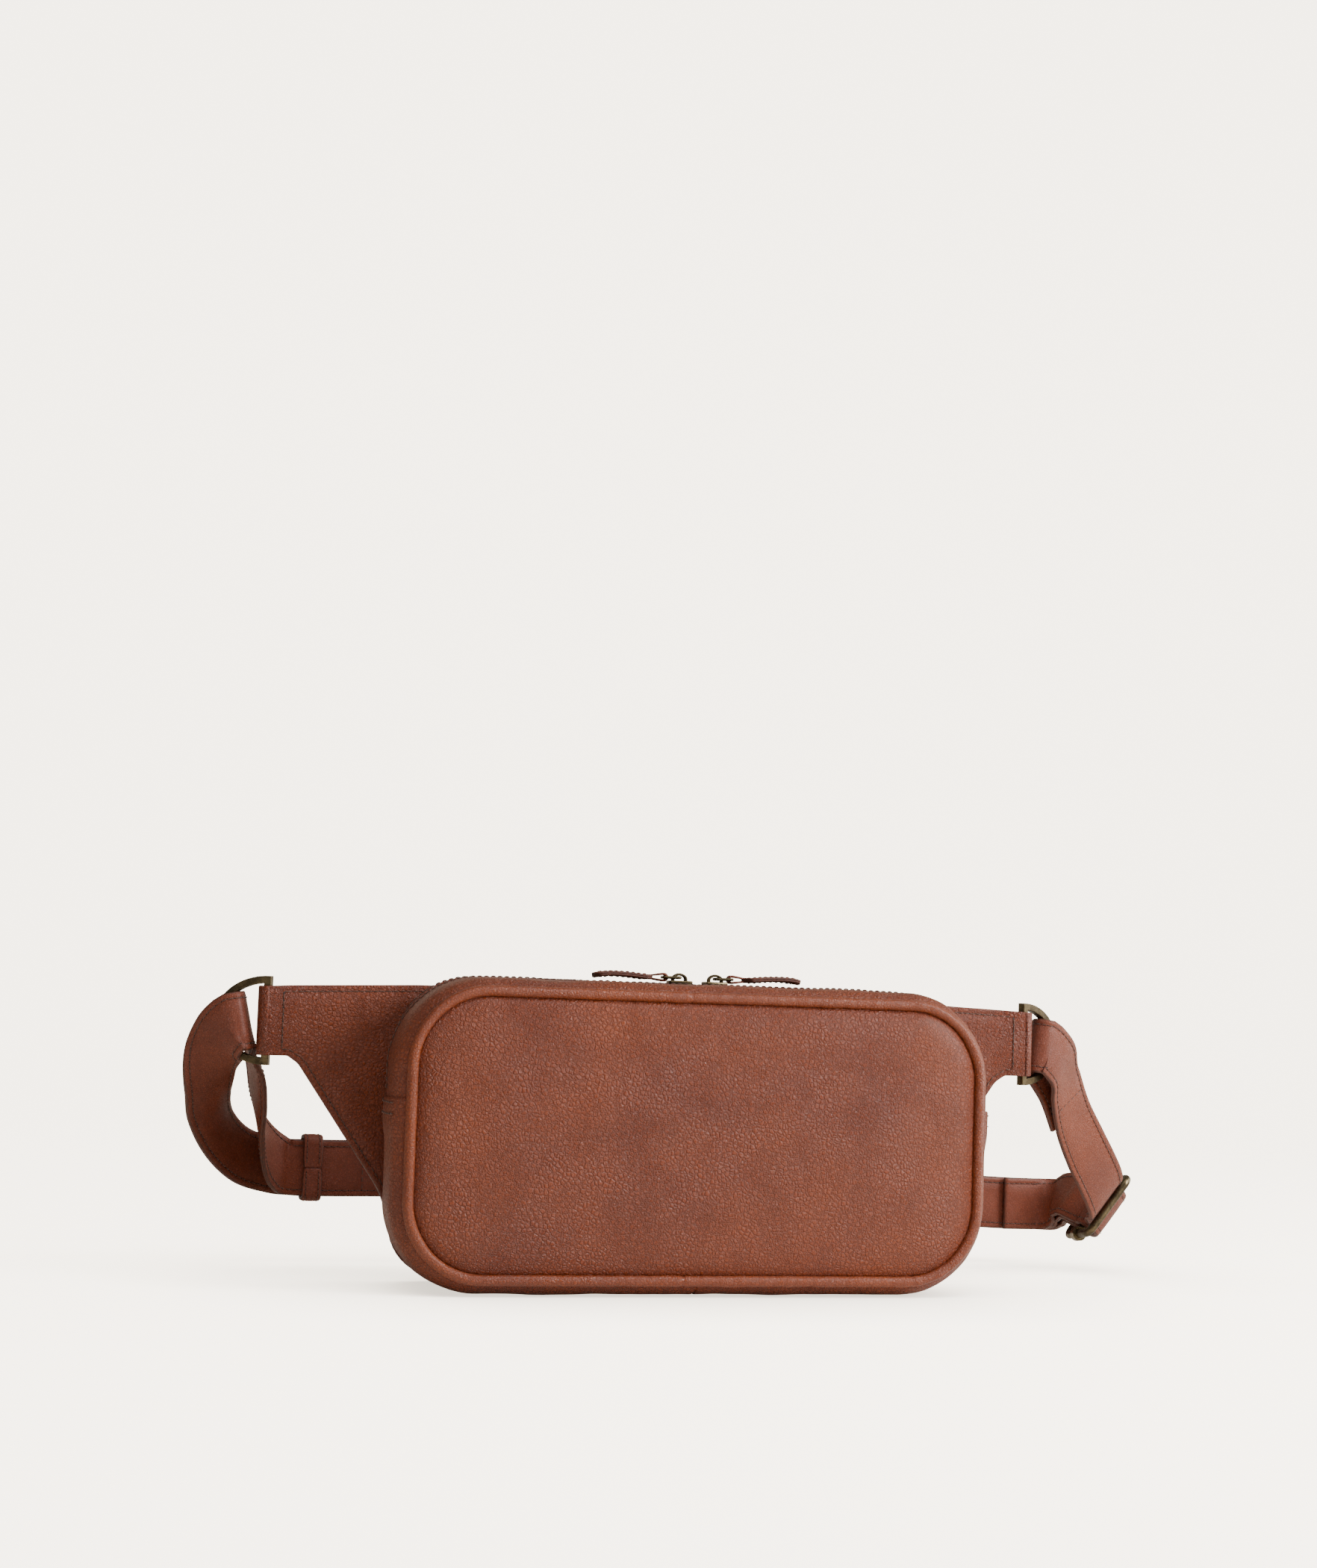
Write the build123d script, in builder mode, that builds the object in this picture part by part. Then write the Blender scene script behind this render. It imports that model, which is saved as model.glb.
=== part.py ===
from build123d import *
import os
from math import cos, pi, radians, sin

# Leather waist pack: a zipped pouch on a winged back panel, with a doubled waist strap.
# Frame: origin at the middle of the pouch's base, +X to the pack's own front-view right,
# +Y from the front panel to the back panel, +Z up. Millimetres.

# Driving dimensions -----------------------------------------------------------------------

leather = 1.8                 # one ply of the body leather
lining = 0.8                  # lining cloth
seam_gap = 0.2                # air between pieces that are only sewn together

panel_width = 244.0           # front panel over its piping
panel_height = 117.0
panel_radius = 33.0
piping_diameter = 4.5
piping_core_diameter = 2.6
panel_rise = 6.5              # how far the padded front panel stands out of its seam
panel_edge_round = 5.5

pouch_depth = 58.0            # front seam to rear seam
gusset_bulge = 4.0            # gusset beyond the piping, all round
gusset_front_roll = 5.0       # depth in which the gusset swells from the front seam
rear_taper = 12.0             # how much each side draws in towards the rear seam
side_seam_height = 75.0       # where the lower gusset laps the zipped one

zip_slot = 14.0               # open width between the two zipped gusset strips
zip_tape_edge = 12.0          # outer edge of each tape, from the zip's centre line
zip_tape = 0.8
zip_chain_gap = 1.8           # free middle of the chain, for the sliders' posts
zip_chain_width = 2.0         # one row of teeth
zip_chain_height = 2.4
zip_meeting_x = 4.8           # where the two sliders meet
slider_spacing = 15.6
slider_length = 9.5
slider_width = 8.4
slider_plate = 1.4
slide_clearance = 0.3
pull_link_length = 7.0
pull_link_width = 6.0
pull_wire = 1.2
pull_length = 30.0
pull_width = 10.0
pull_thickness = 2.0

back_foam = 1.6
back_top = 120.5              # top edge of the back panel
wing_reach = 171.5            # end of each wing, from the middle
wing_end_height = 28.0
wing_end_top = 118.0
wing_tab_length = 14.0        # the part of a wing end that is folded round the ring's bar

ring_height = 36.0
ring_reach = 22.0             # from the centre of the bar to the outside of the bow
ring_band = 3.0
ring_thickness = 3.5
ring_bar_clearance = 0.3
ring_lean = 25.8              # degrees that each ring points back from the wing

strap_width = 24.0
strap_thickness = 2.4
strap_layer_gap = 0.5
strap_bend_radius = 5.0       # middle of the strap where it folds round a ring
strap_bend_setback = 7.1      # from the ring's bow to the centre of that fold
strap_height = 41.0           # middle of the strap where it runs level behind the pouch
strap_back_y = 105.0          # outer layer of the strap there

keeper_length = 8.0
keeper_wall = 2.0
keeper_clearance = 0.3
keeper_x = -134.0

adjuster_wire = 3.8
adjuster_pitch = 15.0         # between the adjuster's bars
adjuster_inside = 28.0        # free length of a bar

pocket_width = 180.0
pocket_height = 72.0

# Values worked out from the driving dimensions ----------------------------------------------

crown_width = panel_width + 2 * gusset_bulge
crown_height = panel_height + 2 * gusset_bulge
crown_radius = panel_radius + gusset_bulge
panel_middle = crown_height / 2
front_y = -pouch_depth / 2
rear_y = pouch_depth / 2
gusset_front_y = front_y + 2.0
strap_pitch = strap_thickness + strap_layer_gap
rear_bottom = 3.5             # rear seam above the base
rear_top = crown_height - back_top + 0.5

os.makedirs("parts", exist_ok=True)


def write(piece, name):
    """Label a finished piece and write its STEP file."""
    piece.part.label = name
    export_step(piece.part, f"parts/{name}.step")


# Pouch walls --------------------------------------------------------------------------------


def pouch_block(inset):
    """Solid of the whole pouch between its two seams, drawn in all round by the inset."""
    sections = (
        (gusset_front_y, gusset_bulge + 1.0, gusset_bulge + 1.0, gusset_bulge + 1.0),
        (gusset_front_y + gusset_front_roll, 0.0, 0.0, 0.0),
        (zip_tape_edge + 1.0, 0.25 * rear_taper, 0.0, 0.0),
        (rear_y - 4.0, 0.75 * rear_taper, 0.0, rear_top / 2),
        (rear_y, rear_taper, rear_bottom, rear_top),
    )
    with BuildPart() as block:
        for y, side, bottom, top in sections:
            with BuildSketch(Plane.XZ.offset(-y)):
                with Locations((0, (crown_height + bottom - top) / 2)):
                    RectangleRounded(
                        crown_width - 2 * (side + inset),
                        crown_height - bottom - top - 2 * inset,
                        crown_radius - side - inset,
                    )
        loft(ruled=True)
    return block.part


def pouch_wall(outer, inner, y_range, z_range):
    """Part of the pouch's wall between two insets, within a range of depth and of height."""
    middle = (0, sum(y_range) / 2, sum(z_range) / 2)
    with BuildPart() as wall:
        add(pouch_block(outer))
        add(pouch_block(inner), mode=Mode.SUBTRACT)
        with Locations(middle):
            Box(
                2 * crown_width,
                y_range[1] - y_range[0],
                z_range[1] - z_range[0],
                mode=Mode.INTERSECT,
            )
    return wall


whole_depth = (-pouch_depth, pouch_depth)
above_seam = (side_seam_height, 2 * crown_height)
below_seam = (-crown_height, side_seam_height)
front_strip = (-pouch_depth, -zip_slot / 2)
rear_strip = (zip_slot / 2, pouch_depth)
chain_inner = zip_chain_gap / 2
chain_outer = chain_inner + zip_chain_width
chain_top = leather + zip_tape / 2 - zip_chain_height / 2
lining_inset = leather + zip_tape + seam_gap

write(pouch_wall(0, leather, whole_depth, below_seam), "bottom_gusset")
write(pouch_wall(0, leather, front_strip, above_seam), "top_gusset_front")
write(pouch_wall(0, leather, rear_strip, above_seam), "top_gusset_rear")
write(
    pouch_wall(lining_inset, lining_inset + lining, whole_depth, below_seam),
    "lining_gusset_lower",
)

for name, side in (("front", -1), ("rear", 1)):
    tape_range = sorted((side * chain_outer, side * zip_tape_edge))
    chain_range = sorted((side * chain_inner, side * chain_outer))
    lining_range = sorted((side * (zip_tape_edge + seam_gap), side * pouch_depth))
    write(pouch_wall(leather, leather + zip_tape, tape_range, above_seam), f"zipper_tape_{name}")
    write(
        pouch_wall(chain_top, chain_top + zip_chain_height, chain_range, above_seam),
        f"zipper_teeth_{name}",
    )
    write(
        pouch_wall(lining_inset, lining_inset + lining, lining_range, above_seam),
        f"lining_gusset_{name}",
    )

# Front panel: a padded leather dish inside a ring of corded piping -----------------------------

face_width = panel_width - 2 * piping_diameter
face_height = panel_height - 2 * piping_diameter
face_radius = panel_radius - piping_diameter


def panel_dome(inset):
    """Solid of the domed front panel, drawn in by the inset on every face but the rear."""
    with BuildPart() as dome:
        with BuildSketch(Plane.XZ.offset(-front_y)):
            with Locations((0, panel_middle)):
                RectangleRounded(
                    face_width - 2 * inset, face_height - 2 * inset, face_radius - inset
                )
        extrude(amount=panel_rise - inset)
        fillet(dome.edges().group_by(Axis.Y)[0], panel_edge_round - inset)
    return dome.part


with BuildPart() as front_panel:
    add(panel_dome(0))
    add(panel_dome(leather), mode=Mode.SUBTRACT)
write(front_panel, "front_panel")

with BuildPart() as front_padding:
    add(panel_dome(leather))
write(front_padding, "front_padding")

with BuildPart() as lining_front:
    with BuildSketch(Plane.XZ.offset(-front_y)):
        with Locations((0, panel_middle)):
            RectangleRounded(face_width - leather, face_height - leather, face_radius)
    extrude(amount=-lining)
write(lining_front, "lining_front")

piping_y = front_y - 0.4
with BuildSketch(Plane.XZ.offset(-piping_y)) as piping_loop:
    with Locations((0, panel_middle)):
        RectangleRounded(
            panel_width - piping_diameter,
            panel_height - piping_diameter,
            panel_radius - piping_diameter / 2,
        )
piping_path = piping_loop.sketch.face().outer_wire()
piping_start = Plane(origin=piping_path @ 0, z_dir=piping_path % 0)

with BuildPart() as front_piping:
    with BuildSketch(piping_start):
        Circle(piping_diameter / 2)
        Circle(piping_core_diameter / 2, mode=Mode.SUBTRACT)
    sweep(path=piping_path)
write(front_piping, "front_piping")

with BuildPart() as front_piping_core:
    with BuildSketch(piping_start):
        Circle(piping_core_diameter / 2)
    sweep(path=piping_path)
write(front_piping_core, "front_piping_core")

# Back panel: two plies over foam, running out into a wing on each side --------------------------

ring_bar_hole = ((ring_band**2 + ring_thickness**2) ** 0.5) / 2 + ring_bar_clearance
tab_radius = ring_bar_hole + 1.4
back_front_y = rear_y + seam_gap
back_thickness = 2 * leather + back_foam
back_middle_y = back_front_y + back_thickness / 2
ring_bar_x = wing_reach - tab_radius
wing_ply_end = wing_reach - wing_tab_length
wing_end_bottom = wing_end_top - wing_end_height
ring_middle_z = wing_end_bottom + wing_end_height / 2


def back_sheet(y, thickness, inset):
    """Flat sheet in the outline of the back panel with its two wings."""
    half = [
        (crown_width / 2 - rear_taper - 4.0 - inset, 1.5 + inset),
        (crown_width / 2 - 9.0 - inset, 34.0),
        (wing_ply_end - 3.5 - inset, wing_end_bottom - 3.0 + inset),
        (wing_ply_end, wing_end_bottom - 1.0 + inset),
        (wing_ply_end, wing_end_top + 0.6 - inset),
        (crown_width / 2 - 20.0, back_top - inset),
    ]
    radii = [22.0, 40.0, 9.0, 0.0, 0.0, 60.0]
    outline = half + [(-x, z) for x, z in reversed(half)]
    with BuildPart() as sheet:
        with BuildSketch(Plane.XZ.offset(-y)):
            with BuildLine():
                FilletPolyline(*outline, radius=radii + radii[::-1], close=True)
            make_face()
        extrude(amount=-thickness)
    return sheet


write(back_sheet(back_front_y, leather, 0.0), "back_panel_front_ply")
write(back_sheet(back_front_y + leather, back_foam, 3.0), "back_panel_foam")
write(back_sheet(back_front_y + leather + back_foam, leather, 0.0), "back_panel_rear_ply")

with BuildPart() as lining_back:
    with BuildSketch(Plane.XZ.offset(-rear_y)):
        with Locations((0, panel_middle - 1.0)):
            RectangleRounded(
                crown_width - 2 * (rear_taper + lining_inset + 1.5),
                crown_height - rear_bottom - rear_top - 2 * (lining_inset + 1.5),
                crown_radius - rear_taper - lining_inset,
            )
    extrude(amount=lining)
write(lining_back, "lining_back")

with BuildPart() as slip_pocket:
    with BuildSketch(Plane.XZ.offset(-(rear_y - lining - seam_gap))):
        with Locations((0, panel_middle - 12.0)):
            RectangleRounded(pocket_width, pocket_height, 8.0)
    extrude(amount=lining)
write(slip_pocket, "slip_pocket")

for name, side in (("left", -1), ("right", 1)):
    # The wing end is folded round the ring's bar: two legs and a barrel.
    bar_centre = (side * ring_bar_x, back_middle_y, ring_middle_z)
    leg_middle_x = side * (wing_ply_end + ring_bar_x) / 2
    with BuildPart() as wing_tab:
        with Locations((leg_middle_x, back_middle_y, ring_middle_z)):
            Box(ring_bar_x - wing_ply_end, back_thickness, wing_end_height)
        with Locations(bar_centre):
            Cylinder(tab_radius, wing_end_height)
            Cylinder(ring_bar_hole, wing_end_height, mode=Mode.SUBTRACT)
        fillet(wing_tab.edges().filter_by(GeomType.CIRCLE).sort_by(SortBy.RADIUS)[-2:], 0.4)
    write(wing_tab, f"wing_tab_{name}")

    # The ring: a straight bar closed by an elliptical bow, cut from flat bar stock.
    outwards = Vector(side * cos(radians(ring_lean)), sin(radians(ring_lean)), 0)
    ring_plane = Plane(origin=bar_centre, x_dir=outwards, z_dir=outwards.cross(Vector(0, 0, 1)))
    with BuildPart() as d_ring:
        with BuildSketch(ring_plane):
            Ellipse(ring_reach, ring_height / 2)
            with Locations((-ring_reach / 2, 0)):
                Rectangle(ring_reach, ring_height, mode=Mode.SUBTRACT)
            Rectangle(ring_band, ring_height)
        extrude(amount=ring_thickness / 2, both=True)
        with BuildSketch(ring_plane):
            Ellipse(ring_reach - ring_band, ring_height / 2 - ring_band)
            with Locations(((ring_band - ring_reach) / 2, 0)):
                Rectangle(ring_reach, ring_height, mode=Mode.SUBTRACT)
        extrude(amount=ring_thickness / 2, both=True, mode=Mode.SUBTRACT)
        flat_faces = d_ring.faces().sort_by(Axis(bar_centre, ring_plane.z_dir))
        fillet(flat_faces[0].edges() + flat_faces[-1].edges(), 0.4)
    write(d_ring, f"d_ring_{name}")

# Zipper sliders, links and leather pulls ---------------------------------------------------------

chain_top_z = crown_height - chain_top
chain_bottom_z = chain_top_z - zip_chain_height
plate_bottom_z = chain_top_z + slide_clearance
plate_top_z = plate_bottom_z + slider_plate
under_plate_z = chain_bottom_z - slide_clearance - slider_plate
bail_hole_z = plate_top_z + 1.3
bail_height = 2.9
flange = slider_width / 2 - chain_outer - slide_clearance
flange_y = slider_width / 2 - flange / 2
plate_height = plate_top_z - under_plate_z

for name, side in (("left", -1), ("right", 1)):
    slider_x = zip_meeting_x + side * slider_spacing / 2
    with BuildPart() as slider_body:
        with Locations((slider_x, 0, under_plate_z + plate_height / 2)):
            Box(slider_length, slider_width, plate_height)
            # Channel for the two rows of teeth, with a lip left beside them.
            Box(
                slider_length,
                2 * (chain_outer + slide_clearance),
                plate_height - 2 * slider_plate,
                mode=Mode.SUBTRACT,
            )
            # Slots that let the tapes out at both sides.
            Box(slider_length, 2 * slider_width, zip_tape + 2 * slide_clearance, mode=Mode.SUBTRACT)
        post_x = slider_x - side * (slider_length / 2 - 1.5)
        with Locations((post_x, 0, under_plate_z + plate_height / 2)):
            Box(3.0, zip_chain_gap - 2 * slide_clearance, plate_height)
        with Locations((slider_x, 0, plate_top_z + bail_height / 2)):
            Box(6.0, 2.0, bail_height)
        with Locations(Plane.XZ * Location((slider_x, bail_hole_z, 0))):
            Cylinder(pull_wire / 2 + slide_clearance, 4.0, mode=Mode.SUBTRACT)
        fillet(slider_body.edges().filter_by(Axis.Y).group_by(Axis.Z)[-1], 1.0)
    write(slider_body, f"zipper_slider_{name}")

    # A wire link from the slider's bail to the leather pull.
    link_middle_x = slider_x + side * pull_link_length / 2
    wire_radius = pull_wire / 2
    with BuildSketch(Plane.XY.offset(bail_hole_z)) as link_loop:
        with Locations((link_middle_x, 0)):
            RectangleRounded(pull_link_length, pull_link_width - pull_wire, 0.9)
    link_path = link_loop.sketch.face().outer_wire()
    with BuildPart() as puller_link:
        with BuildSketch(Plane(origin=link_path @ 0, z_dir=link_path % 0)):
            Circle(wire_radius)
        sweep(path=link_path)
    write(puller_link, f"puller_link_{name}")

    # The pull is a leather tongue with a narrow neck that is folded round the link.
    neck_width = pull_link_width - 2 * pull_wire - 2 * slide_clearance
    pull_pivot_x = slider_x + side * pull_link_length
    barrel = wire_radius + slide_clearance + 1.0
    neck_length = 6.0
    with BuildPart() as leather_pull:
        with BuildSketch(Plane.XY.offset(bail_hole_z - pull_thickness / 2)):
            with Locations((pull_pivot_x + side * (neck_length + pull_length) / 2, 0)):
                RectangleRounded(pull_length - neck_length, pull_width, 3.0)
            with Locations((pull_pivot_x + side * (neck_length / 2 + 1.0), 0)):
                Rectangle(neck_length + 2.0, neck_width)
        extrude(amount=pull_thickness)
        with Locations(Plane.XZ * Location((pull_pivot_x, bail_hole_z, 0))):
            Cylinder(barrel, neck_width)
            Cylinder(wire_radius + slide_clearance, pull_width, mode=Mode.SUBTRACT)
    write(leather_pull, f"leather_pull_{name}")

    # The stop that bridges the two rows at the chain's lower end.
    stop_inset = chain_top + zip_chain_height / 2
    side_drawn_in = 0.25 * rear_taper * (0 - gusset_front_y - gusset_front_roll) / (
        zip_tape_edge + 1.0 - gusset_front_y - gusset_front_roll
    )
    stop_x = side * (crown_width / 2 - side_drawn_in - stop_inset)
    with BuildPart() as zipper_stop:
        with Locations((stop_x, 0, side_seam_height + 2.5)):
            Box(zip_chain_height, zip_chain_gap - 0.2, 4.0)
    write(zipper_stop, f"zipper_stop_{name}")

# Waist strap -------------------------------------------------------------------------------------
# One long strap. Its right end is folded round the right ring and sewn; it runs down through the
# adjuster, left behind the pouch, through the left ring and back along itself to the adjuster's
# middle bar, where it is folded and sewn. Each station is a point and the strap's width direction.


def ring_fold(side, first_angle, last_angle, steps):
    """Stations of the strap's fold round a ring's bow, from the rear (0) to the front (180)."""
    outwards = Vector(side * cos(radians(ring_lean)), sin(radians(ring_lean)), 0)
    backwards = Vector(-side * sin(radians(ring_lean)), cos(radians(ring_lean)), 0)
    up = Vector(0, 0, 1)
    bar_centre = Vector(side * ring_bar_x, back_middle_y, ring_middle_z)
    bow_angle = radians(-10)
    bow_out = ring_reach - ring_band / 2
    bow_up = (ring_height - ring_band) / 2
    contact = bar_centre + outwards * (bow_out * cos(bow_angle)) + up * (bow_up * sin(bow_angle))
    across = (outwards * (-bow_out * sin(bow_angle)) + up * (bow_up * cos(bow_angle))).normalized()
    away = (outwards * across.Z - up * across.dot(outwards)).normalized()
    centre = contact - away * strap_bend_setback
    stations = []
    for index in range(steps + 1):
        angle = radians(first_angle + (last_angle - first_angle) * index / steps)
        offset = backwards * cos(angle) - away * sin(angle)
        stations.append((centre + offset * strap_bend_radius, across))
    return stations


def stations(*rows):
    """Stations from rows of a point's three coordinates and a width direction's three."""
    return [(Vector(*row[:3]), Vector(*row[3:]).normalized()) for row in rows]


def headings(path):
    """Direction of travel at each station of a path."""
    points = [point for point, _ in path]
    last = len(points) - 1
    return [
        (points[min(i + 1, last)] - points[max(i - 1, 0)]).normalized() for i in range(last + 1)
    ]


def lifted(path, lifts):
    """A path moved off the given one along the strap's face, by one lift for each station."""
    result = []
    for (point, across), heading, lift in zip(path, headings(path), lifts):
        square = (across - heading * across.dot(heading)).normalized()
        result.append((point + square.cross(heading) * lift, across))
    return result


def ribbon(path, first, last):
    """Strap solid along the stations first to last of a path."""
    directions = headings(path)
    with BuildPart() as strap:
        for index in range(first, last + 1):
            point, across = path[index]
            heading = directions[index]
            square = (across - heading * across.dot(heading)).normalized()
            with BuildSketch(Plane(origin=point, x_dir=square, z_dir=heading)):
                Rectangle(strap_width, strap_thickness)
        loft(ruled=True)
    return strap


# Right leg, from the ring's fold down to the adjuster.
right_fold = ring_fold(1, 0, 180, 6)
leg = right_fold[-1:] + stations(
    (189.5, 36.5, 95.5, 0.45, 0.20, 0.87),
    (194.0, 42.5, 86.0, 0.52, 0.20, 0.83),
    (201.5, 49.5, 71.5, 0.60, 0.15, 0.78),
    (210.5, 54.5, 58.0, 0.64, 0.05, 0.76),
    (218.0, 57.5, 47.0, 0.64, 0.02, 0.77),
    (222.8, 60.3, 40.0, 0.63, 0.00, 0.78),
)
sewn_end = lifted(leg[1:4], (11.0, 5.5, strap_pitch))[::-1]

# Through the adjuster: in past the front bar, out over the middle bar, in past the rear bar.
adjuster_centre = Vector(232.0, 84.0, 29.5)
adjuster_along = Vector(0.12, 0.985, -0.12).normalized()
adjuster_across = Vector(0.62, 0.0, 0.78)
adjuster_across = (
    adjuster_across - adjuster_along * adjuster_across.dot(adjuster_along)
).normalized()
adjuster_inwards = adjuster_across.cross(adjuster_along)


def adjuster_point(along, inwards):
    """Point at a distance along the adjuster from its middle bar and to its inner side."""
    return adjuster_centre + adjuster_along * along + adjuster_inwards * inwards


def adjuster_lane(*rows):
    """Stations through the adjuster, from rows of distance along it and to its inner side."""
    return [(adjuster_point(along, inwards), adjuster_across) for along, inwards in rows]


weave = [(10.5, 2.0), (6.5, -3.5), (3.5, -6.0)]
bar_pass = (adjuster_pitch, 4.8)
through = adjuster_lane(
    (-21.0, 5.0),
    *[(-along, inwards) for along, inwards in [bar_pass] + weave],
    (0.0, -6.6),
    *weave[::-1],
    bar_pass,
)

# The turn behind the adjuster and the level run behind the pouch.
turn_radius = 18.0
turn_start = adjuster_point(24.0, 0.0)
turn = []
for step, width_x in enumerate((0.62, 0.50, 0.35, 0.20, 0.05)):
    angle = step * pi / 8
    offset = Vector(turn_radius * (cos(angle) - 1), turn_radius * sin(angle), 0.3 * step)
    turn.append((turn_start + offset, Vector(width_x, 0.05, 0.9).normalized()))
run = turn + stations(
    (200.0, 124.5, 28.3, 0, 0, 1),
    (150.0, 120.6, 31.0, 0, 0, 1),
    (90.0, 116.0, 34.0, 0, 0, 1),
    (20.0, 110.8, 37.5, 0, 0, 1),
    (-40.0, 106.4, 40.2, 0, 0, 1),
    (-66.0, strap_back_y, strap_height, 0, 0, 1),
    (-104.0, strap_back_y, strap_height, 0, 0, 1),
    (-142.0, strap_back_y, strap_height, 0, 0, 1),
)
turn_lifts = (4.0, 3.0, 1.6, 0.6, 0.0)
turn_spread = (1.5, 1.6, 1.5, 1.3, 1.1)


def layer(number, count):
    """The first stations of the run, moved in by a number of strap layers."""
    lifts = [
        lift + number * strap_pitch * spread
        for lift, spread in zip(turn_lifts + (0.0,) * 8, turn_spread + (1.0,) * 8)
    ]
    return lifted(run[:count], lifts[:count])


outer_run = layer(0, len(run))
inner_run = layer(1, len(run))

# The loop through the left ring.
loop_front = stations(
    (-150.0, 104.0, 41.6, 0.0, 0.0, -1.0),
    (-165.0, 97.5, 46.0, -0.20, -0.20, -0.95),
    (-180.0, 86.0, 55.5, -0.50, -0.45, -0.70),
    (-188.5, 72.0, 67.0, -0.75, -0.60, -0.15),
    (-191.5, 58.0, 78.0, -0.70, -0.60, 0.30),
    (-191.0, 46.5, 88.0, -0.60, -0.40, 0.65),
    (-187.5, 37.5, 96.5, -0.45, 0.10, 0.88),
)
left_fold = ring_fold(-1, 180, 60, 4)
loop_rear = stations(
    (-174.0, 47.0, 98.0, -0.35, 0.30, 0.89),
    (-168.5, 56.0, 89.0, -0.30, 0.45, 0.84),
    (-165.0, 66.0, 77.0, -0.25, 0.50, 0.80),
    (-162.0, 78.0, 64.0, -0.15, 0.45, 0.85),
    (-156.5, 89.5, 52.0, -0.05, 0.30, 0.95),
    (-149.0, 98.5, 43.5, 0.0, 0.10, 1.0),
)

# The far end, folded round the adjuster's middle bar, with its tail sewn on the inner side.
bar_wrap_radius = adjuster_wire / 2 + slide_clearance + strap_thickness / 2
wrap = adjuster_lane(
    (adjuster_pitch, 4.8 + strap_pitch),
    (12.0, 7.2),
    (8.0, 3.2),
    (4.3, -1.5),
    *[
        (bar_wrap_radius * cos(radians(angle)), bar_wrap_radius * sin(radians(angle)))
        for angle in range(-60, -301, -40)
    ],
    (4.5, 5.2),
    (8.0, 7.9),
    (12.0, 10.3),
    (adjuster_pitch, 4.8 + 2 * strap_pitch),
)
tail = layer(2, 6)

strap_spans = (
    ("strap_sewn_end", sewn_end + right_fold),
    ("strap_right_leg", leg[1:]),
    ("strap_adjuster_pass", through),
    ("strap_outer_turn", outer_run[:5]),
    ("strap_outer_run", outer_run[5:]),
    ("strap_loop_front", loop_front),
    ("strap_loop_rear", left_fold + loop_rear),
    ("strap_inner_run", inner_run[:4:-1]),
    ("strap_inner_turn", inner_run[4::-1]),
    ("strap_bar_fold", wrap),
    ("strap_tail", tail),
)
whole_strap = [station for _, span in strap_spans for station in span]
first_station = 0
for name, span in strap_spans:
    last_station = min(first_station + len(span), len(whole_strap) - 1)
    write(ribbon(whole_strap, first_station, last_station), name)
    first_station = last_station

# The keeper that holds the two layers together.
layers_middle_y = strap_back_y - strap_pitch / 2
keeper_room_y = 2 * strap_thickness + strap_layer_gap + 2 * keeper_clearance
keeper_room_z = strap_width + 2 * keeper_clearance
with BuildPart() as strap_keeper:
    with Locations((keeper_x, layers_middle_y, strap_height)):
        Box(keeper_length, keeper_room_y + 2 * keeper_wall, keeper_room_z + 2 * keeper_wall)
        Box(keeper_length, keeper_room_y, keeper_room_z, mode=Mode.SUBTRACT)
    fillet(strap_keeper.edges().filter_by(Axis.X).group_by(SortBy.DISTANCE)[-1], 1.5)
write(strap_keeper, "strap_keeper")

# The adjuster: a wire frame with a middle bar.
adjuster_plane = Plane(
    origin=adjuster_centre, x_dir=adjuster_along, z_dir=adjuster_along.cross(adjuster_across)
)
with BuildSketch(adjuster_plane) as adjuster_loop:
    RectangleRounded(2 * adjuster_pitch, adjuster_inside + adjuster_wire, 4.0)
adjuster_path = adjuster_loop.sketch.face().outer_wire()
with BuildPart() as adjuster_frame:
    with BuildSketch(Plane(origin=adjuster_path @ 0, z_dir=adjuster_path % 0)):
        Circle(adjuster_wire / 2)
    sweep(path=adjuster_path)
write(adjuster_frame, "adjuster_frame")

bar_plane = Plane(origin=adjuster_centre, x_dir=adjuster_along, z_dir=adjuster_across)
collar_inner = adjuster_wire / 2 + 0.05
collar_outer = collar_inner + 1.3
collar_length = 4.4
collar_spread = (adjuster_inside + adjuster_wire) / 2
with BuildPart() as adjuster_bar:
    with BuildSketch(bar_plane):
        Circle(adjuster_wire / 2)
    extrude(amount=adjuster_inside / 2 - 0.2, both=True)
    for radius, reach, mode in (
        (collar_outer, collar_length / 2, Mode.ADD),
        (collar_inner, collar_length, Mode.SUBTRACT),
    ):
        for end in (-1, 1):
            collar_middle = adjuster_centre + adjuster_across * (end * collar_spread)
            collar_plane = Plane(
                origin=collar_middle, x_dir=adjuster_across, z_dir=adjuster_along
            )
            with BuildSketch(collar_plane):
                Circle(radius)
            extrude(amount=reach, both=True, mode=mode)
write(adjuster_bar, "adjuster_bar")
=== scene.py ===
"""Looks of a leather waist pack, built around its frame."""

import logging
import math
from dataclasses import dataclass
from enum import Enum
from typing import Callable, Iterable, Sequence

import bmesh
import bpy
from mathutils import Matrix, Quaternion, Vector, noise


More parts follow.
